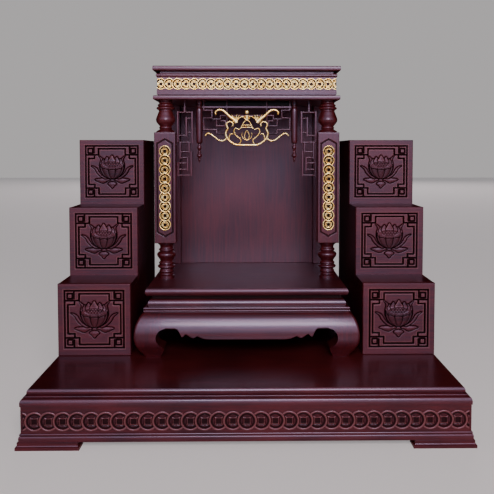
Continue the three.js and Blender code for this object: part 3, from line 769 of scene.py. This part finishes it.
def pod_relief(x, z, height):
    """The pod's face: an ellipse with a raised lip, and seeds as small domes in staggered rows."""
    reach = np.hypot(x / POD_WIDE, (z - POD_MIDDLE) / POD_TALL)
    edge = (1 - reach) * POD_TALL
    body = 2.0 + 0.7 * step(0, 1.2, edge) - 1.3 * step(1.4, 2.6, edge)
    row = np.round((z - POD_MIDDLE) / SEED_ROW)
    shift = np.where(row % 2 == 0, 0, 0.5)
    column = np.round(x / SEED_COLUMN - shift) + shift
    seed = np.hypot((x - SEED_COLUMN * column) / 2.2, (z - POD_MIDDLE - SEED_ROW * row) / 1.45)
    seeds = 1.2 * np.sqrt(np.clip(1 - seed ** 2, 0, 1)) * (edge > 2.6)
    covered = edge > 0
    # Painted shade between the seeds.
    dark = step(1.0, 1.25, seed) * (edge > 2.4) * 0.7
    return np.where(covered, body + seeds, height), np.where(covered, dark, 0)


def deeper(tone, hollow):
    """Hollows laid over a tone: the deeper of the two where there is a hollow at all."""
    return np.where(hollow > 0, np.maximum(tone, hollow), tone)


def lotus_relief(x, z):
    """The flower's height over the field, painted part over part, with painted shade in its hollows and
    painted highlights on its edges.
    """
    height, dark = np.zeros(x.shape), np.zeros(x.shape)
    for keys, foot, swell, width in LOTUS:
        outline = curve(keys, True)
        for side in (1, -1) if outline[:, 0].mean() > 0.5 else (1,):
            d = inside_distance(side * x, z, outline)
            fall = 1 - np.clip(d / width, 0, 1)
            body = foot + swell * np.sqrt(np.clip(1 - fall ** 2, 0, 1))
            vein = 0.35 * (1 - step(0.2, 0.8, np.abs(d - 0.55 * width)))
            groove = 1 - step(0.4, 1.9, np.abs(d + 0.6))
            height = np.where(d > 0, body - vein, height - groove)
            # A painted highlight along each part's edge, and painted shade in the groove round it.
            dark = np.where(d > 0, -0.8 * (1 - step(0.4, 2.2, d)), np.maximum(dark, groove))
    height, globe_dark = globe_relief(x, z, height)
    reach = globe_reach(x, z)
    # Painted shade in the groove round the globe's lower outline.
    outline = 1 - step(0.5, 2.3, np.abs((reach - 1) * GLOBE_EDGE))
    dark = np.where(z < GLOBE_BARE, deeper(dark * (reach > 1), outline), dark)
    height, pod_dark = pod_relief(x, z, height)
    return height, deeper(deeper(dark, globe_dark), pod_dark)


def eased(distance, radius=1.3):
    """How far an eased edge falls back, as a quarter circle, by distance from that edge."""
    inward = np.clip(radius - distance, 0, radius)
    return radius - np.sqrt(radius ** 2 - inward ** 2)


def slab(x0, x1, z0, z1, front, back, columns, rows, relief):
    """A board whose front face is a height over a grid. The net's outermost ring lies on the back
    plane, so it folds round the edges, and one cap closes the back."""
    fold = lambda a, b, n: np.concatenate([[a], np.linspace(a, b, n), [b]])
    x, z = np.meshgrid(fold(x0, x1, columns), fold(z0, z1, rows))
    height, dark = relief(x, z)
    height = height - eased(np.minimum(np.minimum(x - x0, x1 - x), np.minimum(z - z0, z1 - z)))
    rim = np.ones(x.shape, bool)
    rim[1:-1, 1:-1] = False
    y = np.where(rim, back, front - height)
    index = np.arange(x.size).reshape(x.shape)
    ring = [*index[0, :], *index[1:, -1], *index[-1, -2::-1], *index[-2:0:-1, 0]]
    points = np.stack([x, y, z], -1).reshape(-1, 3)
    cap = [int(i) for i in reversed(ring)]
    return (points, net(*x.shape), [cap]), np.where(rim, 0, dark).reshape(-1)


# %% Six panels
FIELD_DEPTH = 1.6
STEP_FACE = 148.0
for side in SIDES:
    for level in LEVELS:
        node = f"steps_{side}_panel_{level}"
        low, high = span(node)
        middle_x, middle_z = (low[0] + high[0]) / 2, high[2] - STEP_FACE / 2

        def relief(x, z):
            cuts, edge_highlight, field = frame_cuts(x - middle_x, z - middle_z)
            flower, dark = lotus_relief(x - middle_x, z - middle_z)
            height = flower - FIELD_DEPTH * field - CUT_DEPTH * cuts
            # The cuts are painted dark as shade; petal edges and the edges beside the cuts get painted
            # highlights.
            return height, deeper(dark - 0.5 * edge_highlight, cuts)

        part, hollow = slab(low[0], high[0], low[2], high[2], low[1], high[1], PANEL_GRID,
                            PANEL_GRID + 10, relief)
        piece(f"lotus_panel_{side}_{level}", [part], satin_panel, [node], hollow=hollow, crease=60)
print("six lotus panels done")

# %% [markdown]
# ## The kneeling-foot table
# The table's top has a torus edge over a hollow waist, an ogee and two beads. Below them the
# aprons belly out, and the legs go on with the same belly, narrow at the ankle and curl
# inwards at the toe. The belly is one curve of offset by height that aprons and legs share,
# so that they meet without a step.

# %% Table top and waist
top_low, top_high = span("table_top")
table_plan = (top_high[0], top_low[1], top_high[1])
torus = [(-9, top_low[2])] + ball(-3, top_low[2], top_high[2], 3.0, 14) + [(-9, top_high[2])]
piece("table_board", [edged_board(table_plan, torus)], rubbed_top, ["table_top"])

waist_low, waist_high = span("table_waist_front")
WAIST_INSIDE = -26.0
waist_profile = (
    [(WAIST_INSIDE, waist_low[2]), (1.2, waist_low[2]), (1.2, 195.2)]
    + ball(2.6, 195.5, 198.5, 0.7, 6)
    + [(0.6, 198.9), (0.6, 199.3)] + ball(1.4, 199.6, 204.6, 1.2, 8)
    + [(-6, 205), (-6, 206.6)]
    + bow((-4.7, 207), (-9.5, 219), -1.8, 12)
    + [(-13, 219.5), (-13, waist_high[2]), (WAIST_INSIDE, waist_high[2])]
)
mouldings(table_plan, waist_profile, "table_waist_moulding_{}", "table_waist_{}", -9.6)
print("table plan:", np.round(table_plan, 1))

# %% The belly, the aprons and the legs
BELLY = curve([(1.8, 103), (5.2, 109), (9.5, 115), (13.5, 121), (16.8, 127), (19.2, 134), (20.6, 141),
               (21, 148), (20.8, 155), (19.6, 163), (18, 170), (16.3, 175), (14, 180), (11.5, 185),
               (7.5, 190), (3, 194)], steps=4)


def belly(z):
    """How far the surface stands out from the table's edge line at height z."""
    return np.interp(z, BELLY[:, 1], BELLY[:, 0])


APRON_EDGE = np.array(
    [(0, 142.6)] + curve([(74, 142.6), (86, 143.8), (95, 147), (100.2, 149.6)]).tolist()
    + curve([(101.6, 149), (105, 146.6), (109.4, 145.6), (115, 148.2), (119.6, 151.4),
             (123.3, 153.4)]).tolist()
    + curve([(124.6, 152.6), (128, 149), (131, 147.6)]).tolist()
    + curve([(132.6, 149), (134.4, 153), (137, 158.4), (140.4, 162.4), (145, 164.2)]).tolist()
    + [(165.0, 164.4)])
APRON_THICK = 18.0
APRON_STEPS, APRON_EASE = 341, 1.6


def apron(middle, half_run, place, squeeze=1.0):
    """A bellied plate between a shaped lower edge and the waist: the net runs up its front and
    down its back, for every place along the run."""
    run = np.linspace(-half_run, half_run, APRON_STEPS)
    edge = np.interp(np.abs(run) / squeeze, APRON_EDGE[:, 0], APRON_EDGE[:, 1])
    top = span("table_apron_front")[1][2]
    rise = np.concatenate([[0, 0.012, 0.03, 0.06], np.linspace(0.1, 1, 20)])
    z = edge[:, None] + (top - edge[:, None]) * rise[None, :]
    front = belly(z) - eased(z - edge[:, None], APRON_EASE)
    z_back, back = z[:, ::-1], belly(z[:, ::-1]) - APRON_THICK
    heights = np.concatenate([z, z_back], 1)
    offsets = np.concatenate([front, back], 1)
    along = (middle + run)[:, None]
    return lofted(*place(along, offsets, heights))


half_table, table_front, table_back = table_plan
apron_high = span("table_apron_front")[1]
part = apron(0, apron_high[0], lambda a, o, z: [a, table_front - o, z])
piece("table_apron_shaped_front", [part], lacquer_x, ["table_apron_front"])
for name, side in SIDES.items():
    low, high = span(f"table_apron_{name}")
    middle, half_run = (low[1] + high[1]) / 2, (high[1] - low[1]) / 2
    part = apron(middle, half_run, lambda a, o, z: [side * (half_table + o), a, z],
                 squeeze=half_run / apron_high[0])
    piece(f"table_apron_shaped_{name}", [part], lacquer_y, [f"table_apron_{name}"])

LEG_INNER = curve([(-31, 103), (-33, 107), (-36, 112), (-38.4, 118), (-39, 122.6), (-35.5, 126),
                   (-29.5, 131), (-24.8, 138), (-23.6, 145), (-24.8, 152), (-28.2, 158),
                   (-32.8, 162), (-38, 163.8), (-42, 164.4)], steps=5)
LEG_FOOT, LEG_KNEE, LEG_TOP = 103, 165, 194
LEG_HEIGHTS = np.concatenate([np.linspace(LEG_FOOT, LEG_KNEE, 63),
                              np.linspace(LEG_KNEE + 0.01, LEG_TOP, 14)])
LEG_BLOCK = -42.0
LEG_ROUND = 5.0


def leg(side, end):
    """A square leg as a stack of plan squares between the belly and the inner curve; its outer
    corner is rounded by a few millimetres. The back legs are flat behind."""
    outer = belly(LEG_HEIGHTS)
    inner = np.where(LEG_HEIGHTS > LEG_KNEE, LEG_BLOCK,
                     np.interp(LEG_HEIGHTS, LEG_INNER[:, 1], LEG_INNER[:, 0]))
    if end < 0:
        turn = np.linspace(0, np.pi / 2, 9)
        across = [*(outer - LEG_ROUND * (1 - np.cos(t)) for t in turn), inner, inner, outer]
        through = [*(outer - LEG_ROUND * (1 - np.sin(t)) for t in turn), outer, inner, inner]
    else:
        across = [outer, inner, inner, outer]
        through = [0 * outer, 0 * outer, inner, inner]
    x = side * (half_table + np.stack(across, -1))
    through = np.stack(through, -1)
    y = table_front - through if end < 0 else table_back + through
    return lofted(x, y, LEG_HEIGHTS[:, None])


for side_name, side in SIDES.items():
    for end_name, end in ENDS.items():
        piece(f"kneeling_leg_{end_name}_{side_name}", [leg(side, end)], lacquer_z,
              [f"table_leg_{end_name}_{side_name}"])
print("belly at its widest:", round(float(BELLY[:, 0].max()), 1))

# %% [markdown]
# ## Columns
# Each column is one length of timber: square in the middle and turned at both ends. The square
# part has a pointed panel cut into its front, with nine gilded coins down it. The turned parts
# are a profile of radius by height; the square part is a slab like the lotus panels, deep enough
# to be the whole shaft.

# %% Turned ends and square shafts
TOP_TURNING = (
    [(14, 0), (14, 1.4)] + ball(13.6, 2, 7, 1.4, 7) + [(14.6, 7.8)]
    + ball(15.8, 8.2, 13.4, 1.7, 8) + [(16.4, 13.9)]
    + ball(17.9, 14.3, 20, 2.1, 8) + [(15.4, 20.8), (15.4, 22.6), (14.6, 23), (14.6, 24)]
    + curve([(15.2, 24.4), (16.6, 28), (18.2, 32.5), (20.2, 37.5), (21.2, 42.5), (19.8, 47.5),
             (16.4, 52), (13.6, 55.4), (12.6, 56.6)]).tolist()
    + ball(12.8, 57, 62, 1.7, 7)
    + curve([(13.4, 62.8), (15.2, 64.2), (19.4, 66.6), (21.4, 69), (21.6, 70)]).tolist()
)
BOTTOM_TURNING = (
    [(21, 0), (20.5, 1.5)] + curve([(19.6, 2.2), (16.5, 5), (14.2, 8.5), (14, 12)]).tolist()
    + ball(14.4, 12.8, 19.4, 2.4, 9) + [(15, 20)]
    + curve([(16.2, 20.8), (19.6, 23.5), (20.8, 27), (19.4, 31.5), (16, 36), (14, 40),
             (13.8, 41.6)]).tolist()
    + ball(14.6, 42.4, 48.4, 2.1, 8) + [(14.8, 49)]
    + ball(17, 49.6, 56.4, 2.5, 9) + [(14.2, 57.2), (14.2, 59.6)]
    + ball(14.4, 60.4, 66.4, 1.8, 7) + [(14, 67.2)]
    + ball(14.4, 68.2, 71.8, 1.6, 6) + [(15.6, 72.6), (17.3, 73.2), (17.3, 79)]
)
HEX_INSET, HEX_LINE, HEX_SHOULDER, HEX_APEX, HEX_CUT = 6.3, 1.3, 24.5, 15.0, 1.7
COLUMN_HALF = 23.0
COLUMN_MIDDLE = 177.5
TOP_LENGTH, BOTTOM_LENGTH = 70, 79
SHAFT_GRID = (72, 330)


def column(side_name, side):
    """Turned ends, the shaft's slab with its pointed panel, and the chain of gilded coins."""
    low, high = span(f"column_{side_name}")
    x, y = side * COLUMN_MIDDLE, high[1] - COLUMN_HALF
    shaft_low, shaft_high = low[2] + BOTTOM_LENGTH, high[2] - TOP_LENGTH
    shaft_middle = (shaft_low + shaft_high) / 2
    top = [(r, high[2] - drop) for r, drop in TOP_TURNING]
    bottom = [(r, shaft_low - drop) for r, drop in BOTTOM_TURNING]
    half = COLUMN_HALF - HEX_INSET
    hexagon = [(x - half, shaft_low + HEX_SHOULDER), (x, shaft_low + HEX_APEX),
               (x + half, shaft_low + HEX_SHOULDER), (x + half, shaft_high - HEX_SHOULDER),
               (x, shaft_high - HEX_APEX), (x - half, shaft_high - HEX_SHOULDER)]

    def relief(u, v):
        cut = 1 - step(HEX_LINE - 0.3, HEX_LINE + 0.5, segment_distance(u, v, hexagon))
        # The cut line is painted dark as shade.
        return -HEX_CUT * cut, 0.8 * cut

    part, hollow = slab(x - COLUMN_HALF, x + COLUMN_HALF, shaft_low, shaft_high, y - COLUMN_HALF,
                        y + COLUMN_HALF, *SHAFT_GRID, relief)
    parts = [turned(top, x, y), turned(bottom, x, y), part]
    plain = sum(len(p[0]) for p in parts[:2])
    piece(f"column_turned_{side_name}", parts, lacquer_z, [f"column_{side_name}"],
          hollow=np.concatenate([np.zeros(plain), hollow]))
    coins, dark = coin_chain(radius=12.9, pitch=19.9, rise=2.4, pairs=4,
                             place=lambda u, v, h: [x + v, y - COLUMN_HALF - h, shaft_middle + u])
    piece(f"column_coins_{side_name}", coins, gilding, hollow=dark)


for side_name, side in SIDES.items():
    column(side_name, side)
print("columns done")

# %% [markdown]
# ## The canopy
# The canopy is a shallow box: a ceiling board, four rails and a roof board. The front rail has
# a plain band, the gilded chain of coins, a bead and a hollow.

# %% Canopy boards and rails
canopy_plan = (201.5, 6.0, 275.0)


def square_edge(node, out, ease):
    """A board's upright edge at offset out, with its two arrises eased as quarter circles."""
    low, high = span(node)[0][2], span(node)[1][2]
    rise = np.linspace(0, np.pi / 2, 6)
    lower = [(out - ease + ease * np.sin(t), low + ease - ease * np.cos(t)) for t in rise]
    return lower + [(o, low + high - z) for o, z in reversed(lower)]


for name, node, out, ease in (("canopy_ceiling", "canopy_lower_board", -0.2, 2.0),
                              ("canopy_roof", "canopy_top_board", 0.6, 2.4)):
    piece(name, [edged_board(canopy_plan, square_edge(node, out, ease))], lacquer_x, [node])

canopy_low, canopy_high = span("canopy_front_rail")
CANOPY_FRIEZE = -8.6
CANOPY_COIN_MIDDLE = 666
canopy_profile = (
    [(-19.5, canopy_low[2]), (-11, canopy_low[2]), (-11, 643), (-7.6, 643.4), (-7.6, 652.4)]
    + [(CANOPY_FRIEZE, 652.9), (CANOPY_FRIEZE, 680.5)]
    + ball(-7.4, 680.9, 688, 1.5, 9)
    + [(-14, 688.5), (-14, canopy_high[2]), (-19.5, canopy_high[2])]
)
mouldings(canopy_plan, canopy_profile, "canopy_moulding_{}", "canopy_{}_rail", -15)
canopy_face = canopy_plan[1] - CANOPY_FRIEZE
canopy_coins, dark = coin_chain(
    radius=12.7, pitch=18.0, rise=2.4, pairs=11,
    place=lambda u, v, h: [u, canopy_face - h, CANOPY_COIN_MIDDLE + v], middle=-5.0,
    limit=canopy_plan[0] + CANOPY_FRIEZE)
piece("canopy_coins", canopy_coins, gilding, hollow=dark)
print("canopy done")

# %% [markdown]
# ## Fretwork under the canopy
# The valance is a meander of thin bars, and a smaller fret hugs the inner face of each column.
# A bar is a section carried along a path: at a bend the section is turned half-way and
# widened, which is a mitre. The bars' front arrises are eased, so each catches a thin light.

# %% A strand along a path
STRAND_EASE = 0.8


def strand(path, widths, front, back, dome=0.0):
    """A section of the given widths carried along a path in the X-Z plane. The section is a
    rectangle with eased front arrises, or domed by a half ellipse when dome is above 0."""
    path = np.array(path, float)
    before = np.diff(path, axis=0, prepend=2 * path[:1] - path[1:2])
    after = np.diff(path, axis=0, append=2 * path[-1:] - path[-2:-1])
    before /= np.hypot(*before.T)[:, None]
    after /= np.hypot(*after.T)[:, None]
    along = before + after
    along /= np.hypot(*along.T)[:, None]
    widen = 1 / np.maximum((along * before).sum(1), 0.4)
    across = np.stack([-along[:, 1], along[:, 0]], -1)
    half = np.broadcast_to(widths, len(path)) / 2 * widen
    if dome:
        turn = np.linspace(0, np.pi, 11)
        a = np.concatenate([np.cos(turn), [-1, 1]])
        depth = np.concatenate([front + dome * (1 - np.sin(turn)), [back, back]])
    else:
        a = np.array([1, 1, 1, -1, -1, -1], float)
        eased_half = 1 - 2 * STRAND_EASE / np.mean(widths)
        a[[2, 3]] = eased_half, -eased_half
        behind = front + STRAND_EASE
        depth = np.array([back, behind, front, front, behind, back], float)
    x = path[:, :1] + across[:, :1] * half[:, None] * a
    z = path[:, 1:] + across[:, 1:] * half[:, None] * a
    return lofted(x, depth, z)


def mirrored(paths):
    """Each path and its mirror image."""
    return [[(side * x, z) for x, z in path] for path in paths for side in (1, -1)]


grille_low, grille_high = span("valance_lattice")
GRILLE_FRONT, GRILLE_BACK = grille_low[1], grille_high[1]
BAR, THIN_BAR = 4.2, 3.4
LATTICE = [
    [(95, 632), (95, 611.5), (77, 611.5), (77, 594.5), (95, 594.5), (95, 569), (67, 569), (67, 560),
     (-67, 560)],
    [(0, 600), (58, 600), (58, 592), (76, 592)],
    [(67, 592), (67, 577), (47.5, 577), (47.5, 588), (58, 588)],
    [(44, 632), (44, 560)],
]
lattice = [strand(path, THIN_BAR, GRILLE_FRONT, GRILLE_BACK, dome=1.6) for path in mirrored(LATTICE)]
lattice.append(strand([(-98, 618.5), (98, 618.5)], 5, GRILLE_FRONT, GRILLE_BACK))
lattice.append(strand([(-98, 626.5), (98, 626.5)], 11, GRILLE_FRONT + 3, GRILLE_BACK))
shade = [np.zeros(len(part[0])) for part in lattice[:-1]] + [np.ones(len(lattice[-1][0]))]
piece("valance_meander", lattice, lacquer_x, ["valance_lattice"], crease=25, hollow=np.concatenate(shade))

FRET_UPRIGHT = [
    # x, and the heights of the bar's two ends
    (152.4, 609, 541), (133.6, 596, 554), (120.8, 609, 539), (147.3, 541, 505), (127.6, 541, 518),
    (123.1, 522, 466), (131, 509, 478), (152.2, 497, 466), (137, 632, 607),
]
FRET_LEVEL = [
    # height, and the x of the bar's two ends
    (607, 154, 120), (594, 135, 122), (563, 135, 122), (556, 152, 135), (541, 154, 120),
    (520, 149, 124.5), (507, 149, 132.5), (495, 154, 132.5), (481, 152, 132.5), (468, 154, 124.5),
]
for name, side in SIDES.items():
    parts = [strand([(side * x, start), (side * x, end)], BAR, GRILLE_FRONT, GRILLE_BACK)
             for x, start, end in FRET_UPRIGHT]
    parts += [strand([(side * start, z), (side * end, z)], THIN_BAR, GRILLE_FRONT + 2.4, GRILLE_BACK,
                     dome=1.4) for z, start, end in FRET_LEVEL]
    piece(f"column_fret_{name}", parts, lacquer_z, [f"side_fret_{name}"], crease=25)
print("bars in the valance:", len(lattice))

# %% Hanging posts
HANGING = (
    [(6.5, 0), (6.5, 8)] + ball(5.6, 9, 14, 0.9, 6) + [(5.4, 15.5)]
    + curve([(6.4, 17), (7, 26), (7, 60), (6.8, 88), (5.4, 92.5), (2.8, 94.5)]).tolist()
    + ball(2.8, 97.6, 107.6, 2.0, 10) + ball(2.4, 109.6, 114.4, 1.3, 7)
    + ball(2.6, 115.6, 124.8, 3.0, 10) + ball(2.2, 126.6, 131, 1.1, 6)
    + curve([(2, 132), (1.4, 134), (0.4, 136)]).tolist()
)
HANGING_X, HANGING_Y = 105.0, 50.0
for name, side in SIDES.items():
    node = f"hanging_post_{name}"
    top = span(node)[1][2]
    profile = [(r, top - drop) for r, drop in HANGING]
    piece(f"hanging_finial_{name}", [turned(profile, side * HANGING_X, HANGING_Y, 32)], lacquer_z, [node])
print("hanging posts done")

# %% [markdown]
# ## The gilded ornament
# In front of the meander hangs openwork painted with gold: an urn-shaped frame with curling
# whiskers and a small crown, and inside it a few bars and a plain lotus bud. Its strands are
# round in front and most taper to their tips, so they are carried along smooth curves with a
# width that changes on the way.

# %% Strands of the ornament
orn_low, orn_high = span("valance_ornament")
ORN_FRONT, ORN_BACK = orn_low[1], orn_high[1]
ORNAMENT = [
    # path from root to tip, width at the root, width at the tip
    ([(0, 534.9), (12, 534.9), (23, 535.5), (31, 538.9), (39.3, 545.3), (44, 551.2), (46.5, 559.8),
      (44.5, 566.3), (42, 571.6), (44.5, 577), (45, 580.8), (42, 584.7), (37, 586.1), (32.5, 584.2),
      (30.3, 580.4), (31.2, 577.3)], 5.3, 3.5),
    ([(23, 584.6), (31, 592.5), (39.4, 599.1), (48.8, 608.2), (57, 612.1), (65, 610.8), (69.2, 606.9),
      (68.5, 602.9)], 7.0, 4.0),
    ([(22.5, 584.2), (29.4, 592.9), (33.5, 602.5)], 8.4, 0.8),
    ([(22.5, 584.2), (25.6, 591), (27, 598.7)], 6.6, 0.8),
    ([(22.5, 584.2), (23, 593.9), (22.5, 603)], 6.0, 0.8),
    ([(22, 586.1), (19.6, 594.8), (15, 602.5)], 5.0, 0.8),
    ([(5, 597.7), (10, 597.2), (15, 595.3), (19.5, 590.5), (22.5, 584.7)], 2.4, 3.4),
    ([(0, 588.1), (3, 591.5), (7, 594.8)], 3.0, 3.0),
    ([(2.5, 588.6), (6.5, 585.2), (9.5, 579.4), (12, 574.6), (14.5, 570.7)], 3.0, 3.0),
    ([(0, 578.8), (5, 578.7), (9.5, 578.2)], 2.4, 2.4),
    ([(0, 573.8), (7, 573.6), (12.5, 573)], 2.6, 2.6),
    ([(16.5, 568.8), (24.4, 571.6), (28, 567.3), (27.5, 561.5), (21.5, 553.8), (14.5, 548), (13, 544.2),
      (15.5, 538.9), (16, 536)], 3.0, 3.0),
    ([(39, 547.5), (38, 555.7), (34, 559.9), (30, 558.6)], 3.2, 2.4),
    ([(45.5, 549.5), (49, 545.6), (55.5, 544.2), (63.5, 546.6), (73, 554.3), (81.5, 559.6), (87, 560.1),
      (91.5, 555.7)], 4.2, 3.6),
    ([(0.6, 545.6), (4, 550.1), (5.2, 555.3), (3.6, 561.4), (0.4, 567.4)], 2.6, 2.2),
    ([(1, 545.6), (7, 548.5), (11, 556.2), (10, 564)], 2.6, 1.2),
]
STRAND_DOME = 2.6
BEAD_DOME = 3
strands = []
for keys, root, tip in ORNAMENT:
    path = curve(keys)
    widths = np.linspace(root, tip, len(path))
    for side in (1, -1):
        strands.append(strand(path * [side, 1], widths, ORN_FRONT, ORN_BACK, dome=STRAND_DOME))
stem = curve([(0, 589), (0, 593), (0, 596), (0, 599.6)])
strands.append(strand(stem, np.linspace(5, 11, len(stem)), ORN_FRONT, ORN_BACK, dome=STRAND_DOME))


def bead(x, z, radius):
    """A half ball: circles whose radius shrinks as the cosine and whose height grows as the sine."""
    rise = np.linspace(0, np.pi / 2 * 0.97, 8)
    radii = np.array([radius, *(radius * np.cos(rise))])[:, None]
    depth = np.array([ORN_BACK, *(ORN_FRONT + BEAD_DOME - BEAD_DOME * np.sin(rise))])[:, None]
    turn = np.linspace(0, 2 * np.pi, 24, endpoint=False)
    return lofted(x + radii * np.cos(turn), depth, z + radii * np.sin(turn))


strands.append(bead(0, 607, 4.6))
for side in (1, -1):
    for bead_x, bead_z, size in ((31.2, 577.3, 2.3), (91.4, 555.8, 2.2), (68.5, 602.9, 2.3)):
        strands.append(bead(side * bead_x, bead_z, size))
piece("gilded_openwork", strands, gilding, ["valance_ornament"], crease=60)
print("strands in the ornament:", len(strands))

# %% [markdown]
# ## Floor and light
# A plain pale floor, and large soft lights as a studio sets for lacquer: a lacquered face
# shows mostly what it mirrors, so the shape of the lights matters more than their strength.
# A big sheet of light stands high in front, and a lower and weaker one fills the upright faces. A
# third, far behind, lights the back without being seen. Floor and sky look different in a mirror
# image than to the eye, as if dark and bright cards stood round the cabinet: the eye sees them
# plain and pale, while the lacquer mirrors a warm floor in front, a nearly black one behind, and
# a sky that is bright in front, most of all low down, and black everywhere else.

# %% Floor
FLOOR_REACH = 12.0
floor_mesh = bpy.data.meshes.new("floor")
floor_corners = [(FLOOR_REACH * x, FLOOR_REACH * y, 0) for x, y in ((-1, -1), (1, -1), (1, 1), (-1, 1))]
floor_mesh.from_pydata(floor_corners, [], [(0, 1, 2, 3)])
floor = put_in("floor", floor_mesh)
floor_material = bpy.data.materials.new("plain_pale_floor")
tree = emptied(floor_material)
rays = add_node(tree, "LightPath").outputs
floor_place = add_node(tree, "SeparateXYZ", {0: add_node(tree, "TexCoord").outputs["Object"]})
mirrored_floor = blend(tree, ranged(tree, floor_place.outputs["Y"], -0.3, 0.3), "#dcbab4", "#0a0809")
floor_shader = add_node(tree, "BsdfPrincipled", {
    "Base Color": blend(tree, rays["Is Glossy Ray"], "#d8d5d2", mirrored_floor),
    "Roughness": 0.85, "Specular IOR Level": 0.2, "Emission Color": srgb("#d6d2d4"),
    "Emission Strength": combined(tree, "MULTIPLY", rays["Is Camera Ray"], 0.4)})
add_node(tree, "OutputMaterial", {"Surface": floor_shader.outputs[0]})
floor_mesh.materials.append(floor_material)
floor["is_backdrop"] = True

# %% Lights
def soft_light(name, place, target, size, power, colour):
    """A rectangular sheet of light at place, facing target."""
    data = bpy.data.lights.new(name, "AREA")
    data.shape = "RECTANGLE"
    data.size, data.size_y = size
    data.energy = power
    data.color = srgb(colour)[:3]
    light = put_in(name, data)
    light.location = place
    way = np.array(target) - np.array(place)
    light.rotation_euler = (math.atan2(np.hypot(way[0], way[1]), -way[2]), 0,
                            math.atan2(way[1], way[0]) - math.pi / 2)
    return light


soft_light("key_sheet", (0.2, -2.9, 1.62), (0, 0, 0.4), (1.5, 1.0), 76, "#fff2f6")
back_fill = soft_light("back_fill", (1.0, 9.5, 4.0), (0, 0, 0.3), (7.0, 4.0), 210, "#fff2f6")
back_fill.visible_camera = back_fill.visible_glossy = False
soft_light("front_fill", (0.0, -3.4, 0.33), (0, 0, 0.33), (3.2, 0.42), 2.5, "#e4e0ff")
world = bpy.data.worlds.new("studio")
bpy.context.scene.world = world
tree = emptied(world)
rays = add_node(tree, "LightPath").outputs
camera_sky = add_node(tree, "Background", {"Color": srgb("#dedada"), "Strength": 0.63})
soft_sky = add_node(tree, "Background", {"Color": srgb("#e6dee4"), "Strength": 0.14})
way = add_node(tree, "SeparateXYZ", {0: add_node(tree, "TexCoord").outputs["Generated"]}).outputs
in_front = ranged(tree, way["Y"], -0.15, -0.7)
upward = ranged(tree, way["Z"], 0.05, 0.11, 0.1, 2.6)
fading = ranged(tree, way["Z"], 0.12, 0.24, 1.0, 0.5)
glow = combined(tree, "MULTIPLY", combined(tree, "MULTIPLY", in_front, upward), fading)
mirrored_sky = add_node(tree, "Background", {"Color": srgb("#ecebff"), "Strength": glow})
mirror_part = add_node(tree, "MixShader", {0: rays["Is Glossy Ray"], 1: soft_sky.outputs[0],
                                           2: mirrored_sky.outputs[0]})
seen = add_node(tree, "MixShader", {0: rays["Is Camera Ray"], 1: mirror_part.outputs[0],
                                    2: camera_sky.outputs[0]})
add_node(tree, "OutputWorld", {"Surface": seen.outputs[0]})
print("lights set")

# %% [markdown]
# ## Check the size and finish
# The dressed cabinet must stay inside the frame's box, so both boxes are written down.

# %% Sizes and the end
low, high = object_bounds()
